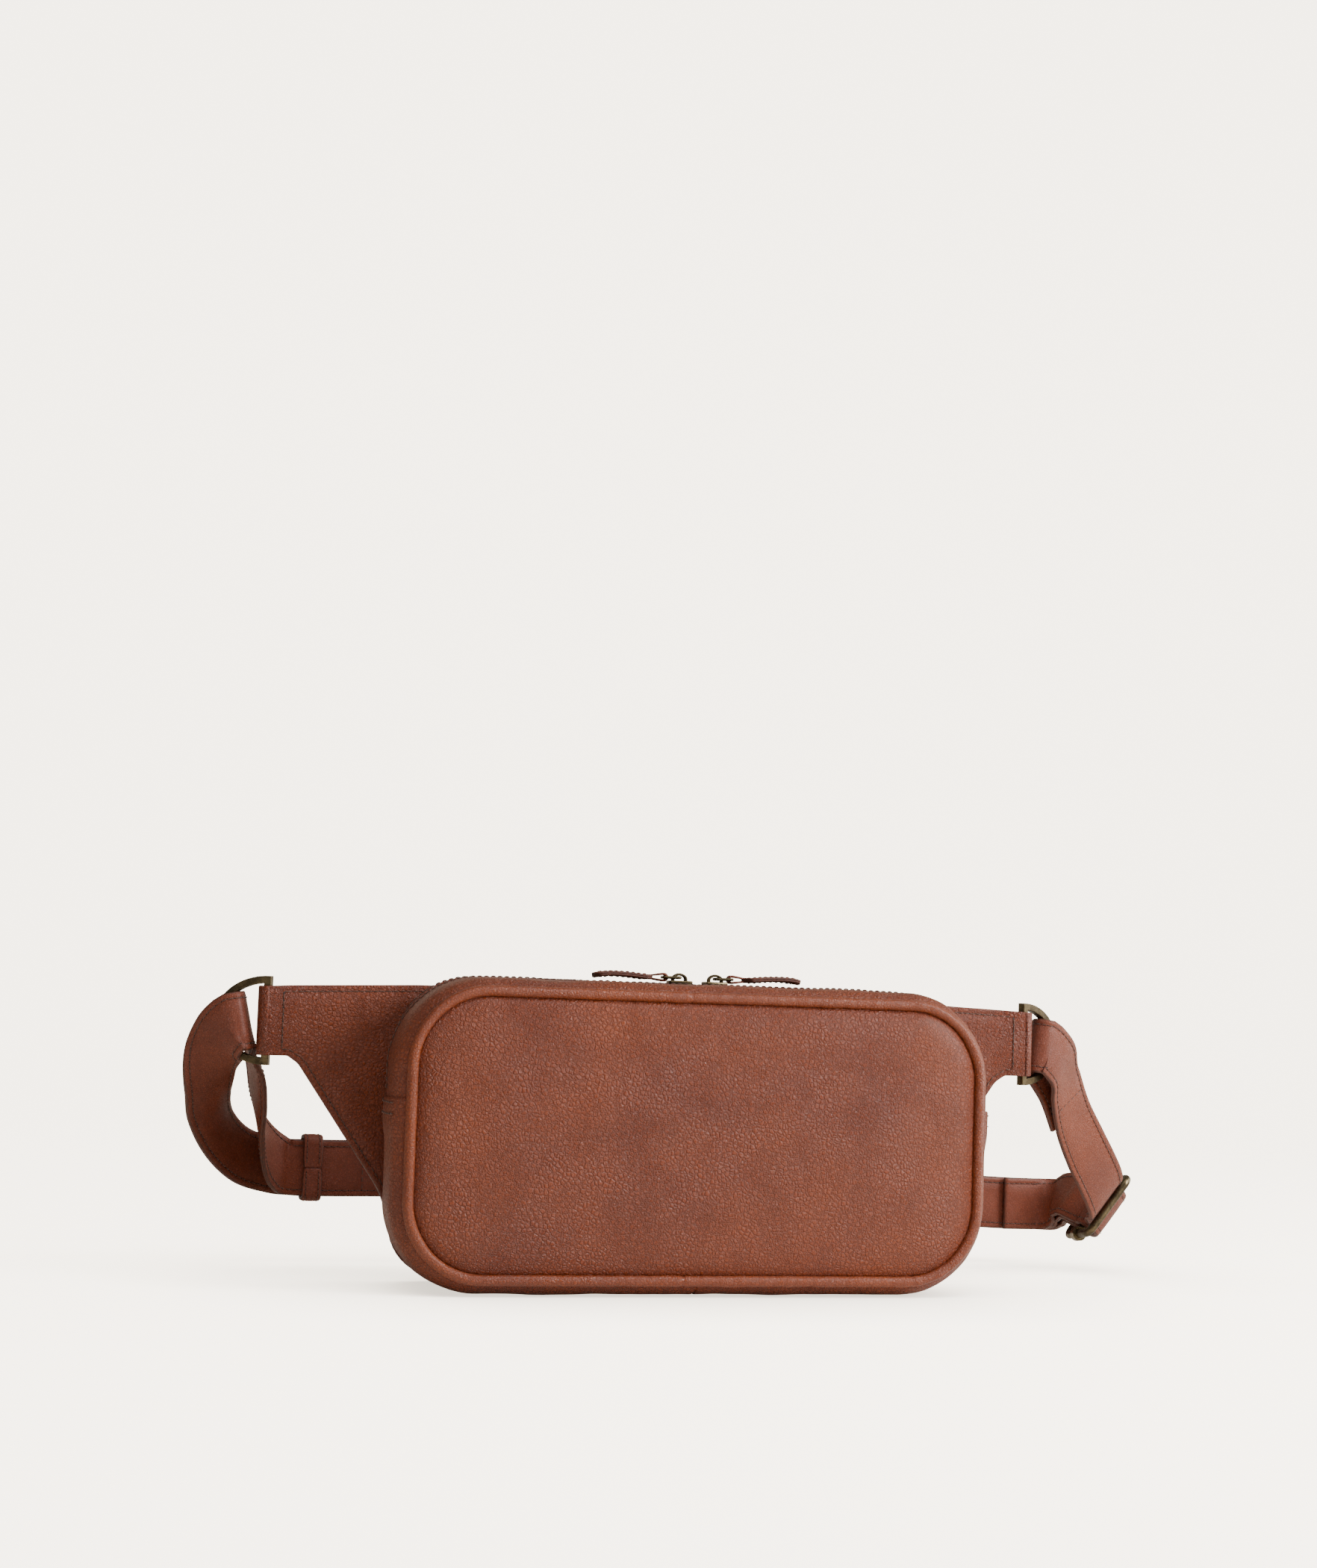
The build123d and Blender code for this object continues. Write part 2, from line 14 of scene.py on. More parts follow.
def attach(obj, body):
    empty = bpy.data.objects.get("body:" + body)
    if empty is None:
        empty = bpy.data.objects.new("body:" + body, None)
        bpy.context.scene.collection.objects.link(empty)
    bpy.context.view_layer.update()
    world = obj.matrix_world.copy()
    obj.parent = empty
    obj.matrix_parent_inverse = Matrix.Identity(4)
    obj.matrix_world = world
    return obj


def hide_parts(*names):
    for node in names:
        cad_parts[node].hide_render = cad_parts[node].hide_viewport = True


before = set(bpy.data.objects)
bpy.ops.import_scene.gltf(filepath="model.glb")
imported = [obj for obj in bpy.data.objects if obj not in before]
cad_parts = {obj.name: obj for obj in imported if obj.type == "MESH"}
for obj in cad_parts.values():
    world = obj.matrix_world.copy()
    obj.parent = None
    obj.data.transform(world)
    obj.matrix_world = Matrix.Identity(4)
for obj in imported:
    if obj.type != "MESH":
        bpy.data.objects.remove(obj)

log = logging.getLogger("waist_pack")
MM = 0.001
ROOT = "pouch_and_strap"
Rgb = tuple[float, float, float]
Station = tuple[Vector, Vector]


class Side(Enum):
    """The two ends of the pack, by the sign of X."""

    LEFT = -1
    RIGHT = 1

    @property
    def word(self) -> str:
        """Name of the side as it stands in node names."""
        return self.name.lower()


# Node trees ------------------------------------------------------------------------------------


class Graph:
    """Short calls for adding nodes to a tree and joining them."""

    def __init__(self, tree: bpy.types.NodeTree) -> None:
        """Keep the tree that nodes are added to."""
        self.tree = tree

    def add(self, kind: str, inputs: dict | None = None, **settings: object) -> bpy.types.Node:
        """Add a node.

        Args:
            kind: Type name of the node.
            inputs: Socket name or index to a value, or to a socket that is linked in.
            settings: Properties of the node.

        Returns:
            The new node.
        """
        node = self.tree.nodes.new(kind)
        for key, value in settings.items():
            setattr(node, key, value)
        for key, value in (inputs or {}).items():
            if isinstance(value, bpy.types.NodeSocket):
                self.tree.links.new(value, node.inputs[key])
            else:
                node.inputs[key].default_value = value
        return node

    def math(self, operation: str, first: object, second: object = 0.0) -> bpy.types.NodeSocket:
        """Add a Math node and return its value."""
        return self.add("ShaderNodeMath", {0: first, 1: second}, operation=operation).outputs[0]

    def fit(
        self, value: object, low: float, high: float, to_low: float = 0.0, to_high: float = 1.0
    ) -> bpy.types.NodeSocket:
        """Map a value's range to another one, clamped."""
        inputs = {"Value": value, "From Min": low, "From Max": high, "To Min": to_low, "To Max": to_high}
        return self.add("ShaderNodeMapRange", inputs).outputs["Result"]

    def noise(
        self, vector: object, scale: object, detail: float = 4.0, rough: float = 0.55
    ) -> bpy.types.NodeSocket:
        """Add a noise texture and return its factor."""
        inputs = {"Vector": vector, "Scale": scale, "Detail": detail, "Roughness": rough}
        return self.add("ShaderNodeTexNoise", inputs).outputs["Fac"]

    def mix(self, factor: object, first: object, second: object) -> bpy.types.NodeSocket:
        """Mix two colours."""
        node = self.add("ShaderNodeMix", {0: factor}, data_type="RGBA")
        for index, value in ((6, first), (7, second)):
            if isinstance(value, bpy.types.NodeSocket):
                self.tree.links.new(value, node.inputs[index])
            else:
                node.inputs[index].default_value = (*value, 1.0)
        return node.outputs[2]


def new_group(
    name: str, inputs: dict[str, float | None], outputs: dict[str, str]
) -> tuple[Graph, bpy.types.Node, bpy.types.Node]:
    """Start a shader node group.

    Args:
        name: Name of the group.
        inputs: Input names with their default values; None makes a vector input.
        outputs: Output names with their socket types.

    Returns:
        The graph of the group, its input node and its output node.
    """
    tree = bpy.data.node_groups.new(name, "ShaderNodeTree")
    for label, value in inputs.items():
        kind = "NodeSocketVector" if value is None else "NodeSocketFloat"
        socket = tree.interface.new_socket(label, in_out="INPUT", socket_type=kind)
        if value is not None:
            socket.default_value = value
    for label, kind in outputs.items():
        tree.interface.new_socket(label, in_out="OUTPUT", socket_type=kind)
    graph = Graph(tree)
    return graph, graph.add("NodeGroupInput"), graph.add("NodeGroupOutput")


def grain_group() -> bpy.types.NodeTree:
    """Pebbled leather grain: its height, the lines between pebbles and broad blotches.

    Returns:
        The node group.
    """
    graph, given, result = new_group(
        "leather_grain",
        {"Vector": None, "Pebble": 0.0014, "Unevenness": 0.5},
        {"Height": "NodeSocketFloat", "Lines": "NodeSocketFloat", "Blotches": "NodeSocketFloat"},
    )
    place = given.outputs["Vector"]
    scale = graph.math("DIVIDE", 1.0, given.outputs["Pebble"])
    wander = graph.add(
        "ShaderNodeTexNoise", {"Vector": place, "Scale": graph.math("MULTIPLY", scale, 0.7), "Detail": 2.0}
    )
    shift = graph.add(
        "ShaderNodeVectorMath", {0: wander.outputs["Color"], 1: (0.0009, 0.0009, 0.0009)},
        operation="MULTIPLY"
    )
    moved = graph.add("ShaderNodeVectorMath", {0: place, 1: shift.outputs[0]}, operation="ADD").outputs[0]
    pebbles = graph.add("ShaderNodeTexVoronoi", {"Vector": moved, "Scale": scale}, feature="DISTANCE_TO_EDGE")
    small = graph.add(
        "ShaderNodeTexVoronoi", {"Vector": moved, "Scale": graph.math("MULTIPLY", scale, 2.1)},
        feature="DISTANCE_TO_EDGE"
    )
    coarse = graph.fit(pebbles.outputs["Distance"], 0.0, 0.26)
    fine = graph.fit(small.outputs["Distance"], 0.0, 0.22)
    patches = graph.fit(graph.noise(place, 55.0, 3.0), 0.38, 0.64)
    uneven = graph.math("MULTIPLY", patches, given.outputs["Unevenness"])
    coarse_part = graph.math("MULTIPLY", coarse, graph.math("SUBTRACT", 1.0, uneven))
    fine_part = graph.math("MULTIPLY", fine, graph.math("ADD", 0.25, uneven))
    creases = graph.math("ABSOLUTE", graph.math("SUBTRACT", graph.noise(place, 230.0, 3.0), 0.5))
    crease_part = graph.math("MULTIPLY", graph.fit(creases, 0.0, 0.05), 0.35)
    pores = graph.math("MULTIPLY", graph.noise(place, 3200.0, 2.0), 0.18)
    height = graph.math(
        "ADD", graph.math("ADD", coarse_part, fine_part), graph.math("ADD", crease_part, pores)
    )
    lines = graph.math(
        "SUBTRACT", 1.0, graph.math("MULTIPLY", coarse, graph.fit(creases, 0.0, 0.03, 0.6, 1.0))
    )
    links = graph.tree.links
    links.new(height, result.inputs["Height"])
    links.new(lines, result.inputs["Lines"])
    links.new(graph.fit(graph.noise(place, 17.0, 5.0, 0.6), 0.32, 0.68), result.inputs["Blotches"])
    return graph.tree


def wear_group() -> bpy.types.NodeTree:
    """Rubbed metal: where it is bright, and where it is tarnished.

    Returns:
        The node group.
    """
    graph, given, result = new_group(
        "metal_wear", {"Vector": None, "Amount": 0.5},
        {"Bright": "NodeSocketFloat", "Height": "NodeSocketFloat"}
    )
    place = given.outputs["Vector"]
    edge = graph.fit(graph.add("ShaderNodeNewGeometry").outputs["Pointiness"], 0.5, 0.56)
    cloud = graph.fit(graph.noise(place, 260.0, 6.0, 0.65), 0.42, 0.66)
    scratch = graph.fit(graph.noise(place, 1500.0, 3.0, 0.7), 0.5, 0.72)
    bright = graph.math(
        "ADD", graph.math("MULTIPLY", edge, 0.6), graph.math("MULTIPLY", cloud, given.outputs["Amount"])
    )
    graph.tree.links.new(
        graph.add(
            "ShaderNodeClamp", {0: graph.math("ADD", bright, graph.math("MULTIPLY", scratch, 0.15))}
        ).outputs[0],
        result.inputs["Bright"],
    )
    graph.tree.links.new(
        graph.math("ADD", cloud, graph.math("MULTIPLY", scratch, 0.4)), result.inputs["Height"]
    )
    return graph.tree


def weave_group() -> bpy.types.NodeTree:
    """Plain weave of yarns that cross each other.

    Returns:
        The node group.
    """
    graph, given, result = new_group(
        "plain_weave", {"Vector": None, "Yarn": 0.0005},
        {"Height": "NodeSocketFloat", "Lines": "NodeSocketFloat"}
    )
    scale = graph.math("DIVIDE", math.pi, given.outputs["Yarn"])
    axes = graph.add("ShaderNodeSeparateXYZ", {0: given.outputs["Vector"]}).outputs
    warp = graph.math("ABSOLUTE", graph.math("SINE", graph.math("MULTIPLY", axes[0], scale)))
    depth = graph.math("ADD", axes[1], axes[2])
    weft = graph.math("ABSOLUTE", graph.math("SINE", graph.math("MULTIPLY", depth, scale)))
    height = graph.math("MAXIMUM", warp, weft)
    graph.tree.links.new(height, result.inputs["Height"])
    graph.tree.links.new(graph.fit(height, 0.6, 1.0, 1.0, 0.0), result.inputs["Lines"])
    return graph.tree


# Finishes --------------------------------------------------------------------------------------


def new_material(name: str) -> tuple[bpy.types.Material, Graph, bpy.types.Node, bpy.types.NodeSocket]:
    """Start a material.

    Args:
        name: Name of the material.

    Returns:
        The material, its graph, its shader and its Object coordinates.
    """
    material = bpy.data.materials.new(name)
    material.use_nodes = True
    graph = Graph(material.node_tree)
    shader = material.node_tree.nodes["Principled BSDF"]
    return material, graph, shader, graph.add("ShaderNodeTexCoord").outputs["Object"]


@dataclass(frozen=True)
class Leather:
    """Pebbled, oiled leather.

    The three colours are its worn highs, its body and the lines between pebbles.
    """

    name: str
    high: Rgb
    body: Rgb
    low: Rgb
    pebble: float = 1.5
    depth: float = 0.16
    unevenness: float = 0.6
    gloss: float = 0.42
    matt: float = 0.62

    def build(self, groups: dict[str, bpy.types.NodeTree]) -> bpy.types.Material:
        """Make the material.

        Args:
            groups: The shared node groups by name.

        Returns:
            The material.
        """
        material, graph, shader, place = new_material(self.name)
        grain = graph.add("ShaderNodeGroup", node_tree=groups["grain"])
        graph.tree.links.new(place, grain.inputs["Vector"])
        grain.inputs["Pebble"].default_value = self.pebble * MM
        grain.inputs["Unevenness"].default_value = self.unevenness
        pulled = graph.mix(grain.outputs["Blotches"], self.body, self.high)
        worn = graph.fit(graph.noise(place, 6.0, 3.0), 0.3, 0.7, 0.0, 0.55)
        toned = graph.mix(worn, pulled, self.body)
        lined = graph.mix(graph.math("MULTIPLY", grain.outputs["Lines"], 0.42), toned, self.low)
        links = graph.tree.links
        links.new(lined, shader.inputs["Base Color"])
        shine = graph.math(
            "ADD", graph.math("MULTIPLY", grain.outputs["Lines"], 0.18),
            graph.fit(grain.outputs["Blotches"], 0.0, 1.0, self.gloss, self.matt),
        )
        links.new(shine, shader.inputs["Roughness"])
        bump = graph.add(
            "ShaderNodeBump",
            {"Strength": 1.0, "Distance": self.depth * MM, "Height": grain.outputs["Height"]},
        )
        links.new(bump.outputs[0], shader.inputs["Normal"])
        shader.inputs["Specular IOR Level"].default_value = 0.5
        shader.inputs["Coat Weight"].default_value = 0.14
        shader.inputs["Coat Roughness"].default_value = 0.32
        return material


@dataclass(frozen=True)
class Painted:
    """Cut leather edge under edge paint, with a fibrous surface; the same recipe gives the dark painted
    shadow of the needle holes.
    """

    name: str
    body: Rgb
    worn: Rgb

    def build(self, groups: dict[str, bpy.types.NodeTree]) -> bpy.types.Material:
        """Make the material from its own noise; the shared groups aren't needed."""
        material, graph, shader, place = new_material(self.name)
        fibres = graph.noise(place, 900.0, 4.0, 0.6)
        graph.tree.links.new(
            graph.mix(graph.fit(fibres, 0.4, 0.65), self.body, self.worn), shader.inputs["Base Color"]
        )
        graph.tree.links.new(graph.fit(fibres, 0.3, 0.7, 0.42, 0.7), shader.inputs["Roughness"])
        bump = graph.add("ShaderNodeBump", {"Strength": 0.7, "Distance": 0.1 * MM, "Height": fibres})
        graph.tree.links.new(bump.outputs[0], shader.inputs["Normal"])
        return material


@dataclass(frozen=True)
class Metal:
    """Antiqued metal: dark tarnish in the hollows, rubbed bright on the highs."""

    name: str
    bright: Rgb
    tarnish: Rgb
    amount: float = 0.55

    def build(self, groups: dict[str, bpy.types.NodeTree]) -> bpy.types.Material:
        """Make the material.

        Args:
            groups: The shared node groups by name.

        Returns:
            The material.
        """
        material, graph, shader, place = new_material(self.name)
        wear = graph.add("ShaderNodeGroup", node_tree=groups["wear"])
        graph.tree.links.new(place, wear.inputs["Vector"])
        wear.inputs["Amount"].default_value = self.amount
        bright = wear.outputs["Bright"]
        graph.tree.links.new(graph.mix(bright, self.tarnish, self.bright), shader.inputs["Base Color"])
        graph.tree.links.new(graph.fit(bright, 0.0, 1.0, 0.52, 0.26), shader.inputs["Roughness"])
        bump = graph.add(
            "ShaderNodeBump", {"Strength": 0.5, "Distance": 0.06 * MM, "Height": wear.outputs["Height"]}
        )
        graph.tree.links.new(bump.outputs[0], shader.inputs["Normal"])
        shader.inputs["Metallic"].default_value = 1.0
        return material


@dataclass(frozen=True)
class Cloth:
    """Woven cloth, tape or thread."""

    name: str
    yarn_colour: Rgb
    gap_colour: Rgb
    yarn: float = 0.5
    roughness: float = 0.85

    def build(self, groups: dict[str, bpy.types.NodeTree]) -> bpy.types.Material:
        """Make the material.

        Args:
            groups: The shared node groups by name.

        Returns:
            The material.
        """
        material, graph, shader, place = new_material(self.name)
        weave = graph.add("ShaderNodeGroup", node_tree=groups["weave"])
        graph.tree.links.new(place, weave.inputs["Vector"])
        weave.inputs["Yarn"].default_value = self.yarn * MM
        fuzz = graph.noise(place, 1800.0, 3.0)
        shade = graph.math(
            "ADD", graph.math("MULTIPLY", weave.outputs["Lines"], 0.6), graph.fit(fuzz, 0.35, 0.7, 0.0, 0.4)
        )
        graph.tree.links.new(graph.mix(shade, self.yarn_colour, self.gap_colour), shader.inputs["Base Color"])
        bump = graph.add(
            "ShaderNodeBump", {"Strength": 0.8, "Distance": 0.12 * MM, "Height": weave.outputs["Height"]}
        )
        graph.tree.links.new(bump.outputs[0], shader.inputs["Normal"])
        shader.inputs["Roughness"].default_value = self.roughness
        shader.inputs["Sheen Weight"].default_value = 0.25
        return material


@dataclass(frozen=True)
class Plain:
    """Soft matt material with a fine cell or dust pattern, for foam and the floor; its glow is dimmed near
    other objects as a painted contact shadow.
    """

    name: str
    body: Rgb
    shade: Rgb
    cell: float = 0.4
    depth: float = 0.05
    roughness: float = 0.95
    glow: float = 0.0

    def build(self, groups: dict[str, bpy.types.NodeTree]) -> bpy.types.Material:
        """Make the material from its own noise; the shared groups aren't needed."""
        material, graph, shader, place = new_material(self.name)
        cells = graph.noise(place, 1.0 / (self.cell * MM), 3.0)
        graph.tree.links.new(
            graph.mix(graph.fit(cells, 0.3, 0.7), self.body, self.shade), shader.inputs["Base Color"]
        )
        bump = graph.add("ShaderNodeBump", {"Strength": 0.5, "Distance": self.depth * MM, "Height": cells})
        graph.tree.links.new(bump.outputs[0], shader.inputs["Normal"])
        shader.inputs["Roughness"].default_value = self.roughness
        if self.glow:
            seen = graph.add("ShaderNodeLightPath").outputs["Is Camera Ray"]
            shader.inputs["Emission Color"].default_value = (*self.body, 1.0)
            # Painted contact shadow: ambient occlusion dims the glow where other objects, such as the pack,
            # stand near.
            near = graph.add("ShaderNodeAmbientOcclusion", {"Distance": 0.1}, samples=8).outputs["AO"]
            glow = graph.math(
                "MULTIPLY", graph.fit(seen, 0.0, 1.0, 0.15, self.glow), graph.fit(near, 0.3, 1.0, 0.3, 1.0)
            )
            graph.tree.links.new(glow, shader.inputs["Emission Strength"])
        return material


def srgb(red: int, green: int, blue: int) -> Rgb:
    """Linear colour of a display colour given in 0 to 255."""
    return tuple(
        (c / 255 / 12.92) if c / 255 <= 0.04045 else ((c / 255 + 0.055) / 1.055) ** 2.4
        for c in (red, green, blue)
    )


class Palette:
    """Every finish of the pack, built once."""

    def __init__(self) -> None:
        """Build the shared groups and the materials."""
        groups = {"grain": grain_group(), "wear": wear_group(), "weave": weave_group()}
        finishes = (
            Leather(
                "body_leather", srgb(142, 62, 15), srgb(112, 42, 8), srgb(58, 19, 4), 1.7, 0.3, 0.5, 0.3,
                0.44,
            ),
            Leather(
                "piping_leather", srgb(150, 68, 21), srgb(122, 50, 14), srgb(66, 23, 6), 1.3, 0.16, 0.4,
                0.26, 0.36,
            ),
            Leather(
                "strap_leather", srgb(140, 64, 28), srgb(118, 49, 20), srgb(76, 29, 11), 1.0, 0.14, 0.8,
                0.4, 0.54,
            ),
            Painted("edge_paint", srgb(74, 34, 20), srgb(98, 50, 30)),
            # Painted shadow for the needle holes of every stitched row.
            Painted("seam_shadow", srgb(26, 11, 6), srgb(36, 16, 9)),
            Metal("antique_brass", srgb(132, 116, 86), srgb(52, 45, 35), 0.45),
            Metal("zipper_brass", srgb(150, 128, 88), srgb(76, 62, 42), 0.7),
            Cloth("sewing_thread", srgb(98, 52, 26), srgb(56, 27, 13), 0.22, 0.6),
            Cloth("zipper_tape", srgb(82, 48, 30), srgb(44, 24, 15), 0.45),
            Cloth("lining_cloth", srgb(120, 92, 66), srgb(72, 52, 36), 0.5),
        )
        self.materials = {finish.name: finish.build(groups) for finish in finishes}

    def __getitem__(self, name: str) -> bpy.types.Material:
        """Material of a finish."""
        return self.materials[name]


# Meshes ----------------------------------------------------------------------------------------


def new_piece(
    name: str, points: Iterable[Vector], faces: Iterable[Sequence[int]],
    materials: Sequence[bpy.types.Material], slots: Sequence[int] | None = None, turn_out: bool = True,
) -> bpy.types.Object:
    """Make an object from points in millimetres.

    Args:
        name: Name of the object.
        points: Points in millimetres.
        faces: Corners of each face.
        materials: Materials of the object.
        slots: Material of each face.
        turn_out: Whether the normals are recalculated to point outwards.

    Returns:
        The object, smooth shaded.
    """
    mesh = bpy.data.meshes.new(name)
    mesh.from_pydata([tuple(Vector(p) * MM) for p in points], [], [tuple(f) for f in faces])
    for material in materials:
        mesh.materials.append(material)
    if slots is not None:
        mesh.polygons.foreach_set("material_index", slots)
    if turn_out:
        form = bmesh.new()
        form.from_mesh(mesh)
        bmesh.ops.recalc_face_normals(form, faces=form.faces)
        form.to_mesh(mesh)
        form.free()
    mesh.polygons.foreach_set("use_smooth", [True] * len(mesh.polygons))
    mesh.update()
    piece = bpy.data.objects.new(name, mesh)
    bpy.context.scene.collection.objects.link(piece)
    return piece


def settle(piece: bpy.types.Object, body: str, slot: str, *nodes: str) -> bpy.types.Object:
    """Fix a piece to its body and hide the nodes that it stands for."""
    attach(piece, body)
    if nodes:
        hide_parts(*nodes)
    log.info("%s: %d faces on %s", piece.name, len(piece.data.polygons), body)
    return piece


def skin(rings: Sequence[Sequence[Vector]], closed_path: bool) -> tuple[list[Vector], list[tuple[int, ...]]]:
    """Join closed rings of equal size into a tube, with flat ends if the path is open.

    Args:
        rings: Rings of points.
        closed_path: Whether the last ring joins the first.

    Returns:
        The points and the faces.
    """
    size = len(rings[0])
    points = [point for ring in rings for point in ring]
    faces = []
    spans = len(rings) if closed_path else len(rings) - 1
    for i in range(spans):
        here, there = i * size, ((i + 1) % len(rings)) * size
        for j in range(size):
            k = (j + 1) % size
            faces.append((here + j, here + k, there + k, there + j))
    if not closed_path:
        faces.append(tuple(range(size))[::-1])
        faces.append(tuple(range(len(points) - size, len(points))))
    return points, faces


def ripple(point: Vector, wave: float, seed: float = 0.0) -> float:
    """Smooth noise from -1 to 1 at a point, with waves of the given length in millimetres."""
    return noise.noise(Vector(point) / wave + Vector((seed, seed * 0.7, seed * 1.3)))


def ease(value: float) -> float:
    """Smooth step from 0 to 1."""
    value = min(max(value, 0.0), 1.0)
    return value * value * (3.0 - 2.0 * value)


def even_path(points: Sequence[Vector], step: float, closed: bool = False) -> list[Vector]:
    """Points at an even distance along a polyline."""
    track = list(points) + ([points[0]] if closed else [])
    lengths = [0.0]
    for first, second in zip(track, track[1:]):
        lengths.append(lengths[-1] + (second - first).length)
    count = max(int(round(lengths[-1] / step)), 1)
    result = []
    span = 0
    for i in range(count + (0 if closed else 1)):
        wanted = lengths[-1] * i / count
        while span < len(lengths) - 2 and lengths[span + 1] < wanted:
            span += 1
        width = max(lengths[span + 1] - lengths[span], 1e-9)
        result.append(track[span].lerp(track[span + 1], (wanted - lengths[span]) / width))
    return result


THREAD_SIDES = 5
HOLE_SIDES = 6
# Share of half a stitch, share of the thread's width and share of its height, along one stitch.
STITCH_STAGES = (
    (-1.0, 0.35, -0.25), (-0.72, 0.85, 0.55), (0.0, 1.0, 1.0), (0.72, 0.85, 0.55), (1.0, 0.35, -0.25)
)


@dataclass
class Stitching:
    """Rows of stitches: a thread that dips into a needle hole at both ends of each stitch, each hole a dark
    disc of painted shadow.
    """

    pitch: float = 2.8
    gap: float = 0.7
    thread: float = 0.58
    proud: float = 0.2
    hole: float = 0.5

    def __post_init__(self) -> None:
        """Start with no rows."""
        self.points: list[Vector] = []
        self.faces: list[tuple[int, ...]] = []
        self.slots: list[int] = []

    def row(self, track: Sequence[tuple[Vector, Vector]]) -> None:
        """Sew along a track.

        Args:
            track: Points on the surface, each with the surface's outward direction.
        """
        lengths = [0.0]
        for (first, _), (second, _) in zip(track, track[1:]):
            lengths.append(lengths[-1] + (second - first).length)
        count = max(int(lengths[-1] / self.pitch), 1)
        span = 0

        def at(distance: float) -> tuple[Vector, Vector]:
            """Point and outward direction at a distance along the track."""
            nonlocal span
            while span < len(lengths) - 2 and lengths[span + 1] < distance:
                span += 1
            part = (distance - lengths[span]) / max(lengths[span + 1] - lengths[span], 1e-9)
            return track[span][0].lerp(
                track[span + 1][0], part
            ), track[span][1].lerp(track[span + 1][1], part).normalized()

        for i in range(count):
            start, _ = at(i * lengths[-1] / count)
            middle, out = at((i + 0.5) * lengths[-1] / count)
            end, _ = at((i + 1) * lengths[-1] / count)
            along = end - start
            if along.length > 1e-6:
                self.stitch(middle, along.normalized(), out, along.length)

    def stitch(self, middle: Vector, along: Vector, out: Vector, pitch: float) -> None:
        """Add one stitch and, after it, a dark disc of painted shadow at the needle hole."""
        across = out.cross(along).normalized()
        half = (pitch - self.gap) / 2
        base = len(self.points)
        for share, width, lift in STITCH_STAGES:
            centre = middle + along * (half * share) + out * (lift * self.proud)
            for j in range(THREAD_SIDES):
                angle = 2 * math.pi * j / THREAD_SIDES + math.pi / 2
                self.points.append(
                    centre + (across * math.cos(angle) + out * math.sin(angle)) * (self.thread / 2 * width)
                )
        for i in range(len(STITCH_STAGES) - 1):
            for j in range(THREAD_SIDES):
                k = (j + 1) % THREAD_SIDES
                a, b = base + i * THREAD_SIDES, base + (i + 1) * THREAD_SIDES
                self.faces.append((a + j, a + k, b + k, b + j))
                self.slots.append(0)
        # The needle hole is a flat dark disc just off the surface: painted shadow, not a real hole.
        base = len(self.points)
        hole = middle + along * (pitch / 2) + out * 0.03
        for j in range(HOLE_SIDES):
            angle = 2 * math.pi * j / HOLE_SIDES
            self.points.append(
                hole + along * (math.cos(angle) * self.hole) + across * (math.sin(angle) * self.hole * 0.75)
            )
        self.faces.append(tuple(range(base, base + HOLE_SIDES)))
        self.slots.append(1)

    def build(self, name: str, palette: Palette, body: str, slot: str) -> bpy.types.Object:
        """Make the object of all the rows.

        Args:
            name: Name of the object.
            palette: The finishes.
            body: Body that the rows move with.
            slot: Material slot of the leather that they are sewn in; not used.

        Returns:
            The object.
        """
        materials = [palette["sewing_thread"], palette["seam_shadow"]]
        piece = new_piece(name, self.points, self.faces, materials, self.slots, turn_out=False)
        return settle(piece, body, slot)


@dataclass(frozen=True)
class RoundedLoop:
    """Rounded rectangle in the XZ plane, followed counter-clockwise from the middle of its right side."""

    width: float
    height: float
    radius: float
    middle: float

    def spans(self) -> list[float]:
        """Lengths of its nine straight and round spans."""
        side = self.height - 2 * self.radius
        top = self.width - 2 * self.radius
        bend = math.pi * self.radius / 2
        return [side / 2, bend, top, bend, side, bend, top, bend, side / 2]

    def at(self, distance: float, reference: "RoundedLoop") -> tuple[Vector, Vector]:
        """Point and outward direction at a distance measured along a reference loop.

        Args:
            distance: Distance along the reference loop.
            reference: Loop whose spans the distance is measured on.

        Returns:
            The point with Y zero, and the outward direction.
        """
        spans = reference.spans()
        distance %= sum(spans)
        index = 0
        while index < 8 and distance > spans[index]:
            distance -= spans[index]
            index += 1
        part = distance / max(spans[index], 1e-9)
        half_x, half_z, r = self.width / 2 - self.radius, self.height / 2 - self.radius, self.radius
        corners = {
            1: (half_x, half_z, 0.0), 3: (-half_x, half_z, 90.0), 5: (-half_x, -half_z, 180.0),
            7: (half_x, -half_z, 270.0),
        }
        if index in corners:
            x, z, start = corners[index]
            angle = math.radians(start + 90.0 * part)
            out = Vector((math.cos(angle), 0, math.sin(angle)))
            return Vector((x, 0, z + self.middle)) + out * r, out
        lines = {
            0: ((half_x + r, 0.0), (half_x + r, half_z), (1, 0)),
            2: ((half_x, half_z + r), (-half_x, half_z + r), (0, 1)),
            4: ((-half_x - r, half_z), (-half_x - r, -half_z), (-1, 0)),
            6: ((-half_x, -half_z - r), (half_x, -half_z - r), (0, -1)),
            8: ((half_x + r, -half_z), (half_x + r, 0.0), (1, 0)),
        }
        (x0, z0), (x1, z1), (nx, nz) = lines[index]
        point = Vector((x0 + (x1 - x0) * part, 0, z0 + (z1 - z0) * part + self.middle))
        return point, Vector((nx, 0, nz))

    def depth(self, x: float, z: float) -> float:
        """Distance of a point inside the loop from its edge."""
        over_x = abs(x) - (self.width / 2 - self.radius)
        over_z = abs(z - self.middle) - (self.height / 2 - self.radius)
        outside = math.hypot(max(over_x, 0.0), max(over_z, 0.0)) + min(max(over_x, over_z), 0.0)
        return self.radius - outside


# Pouch -----------------------------------------------------------------------------------------


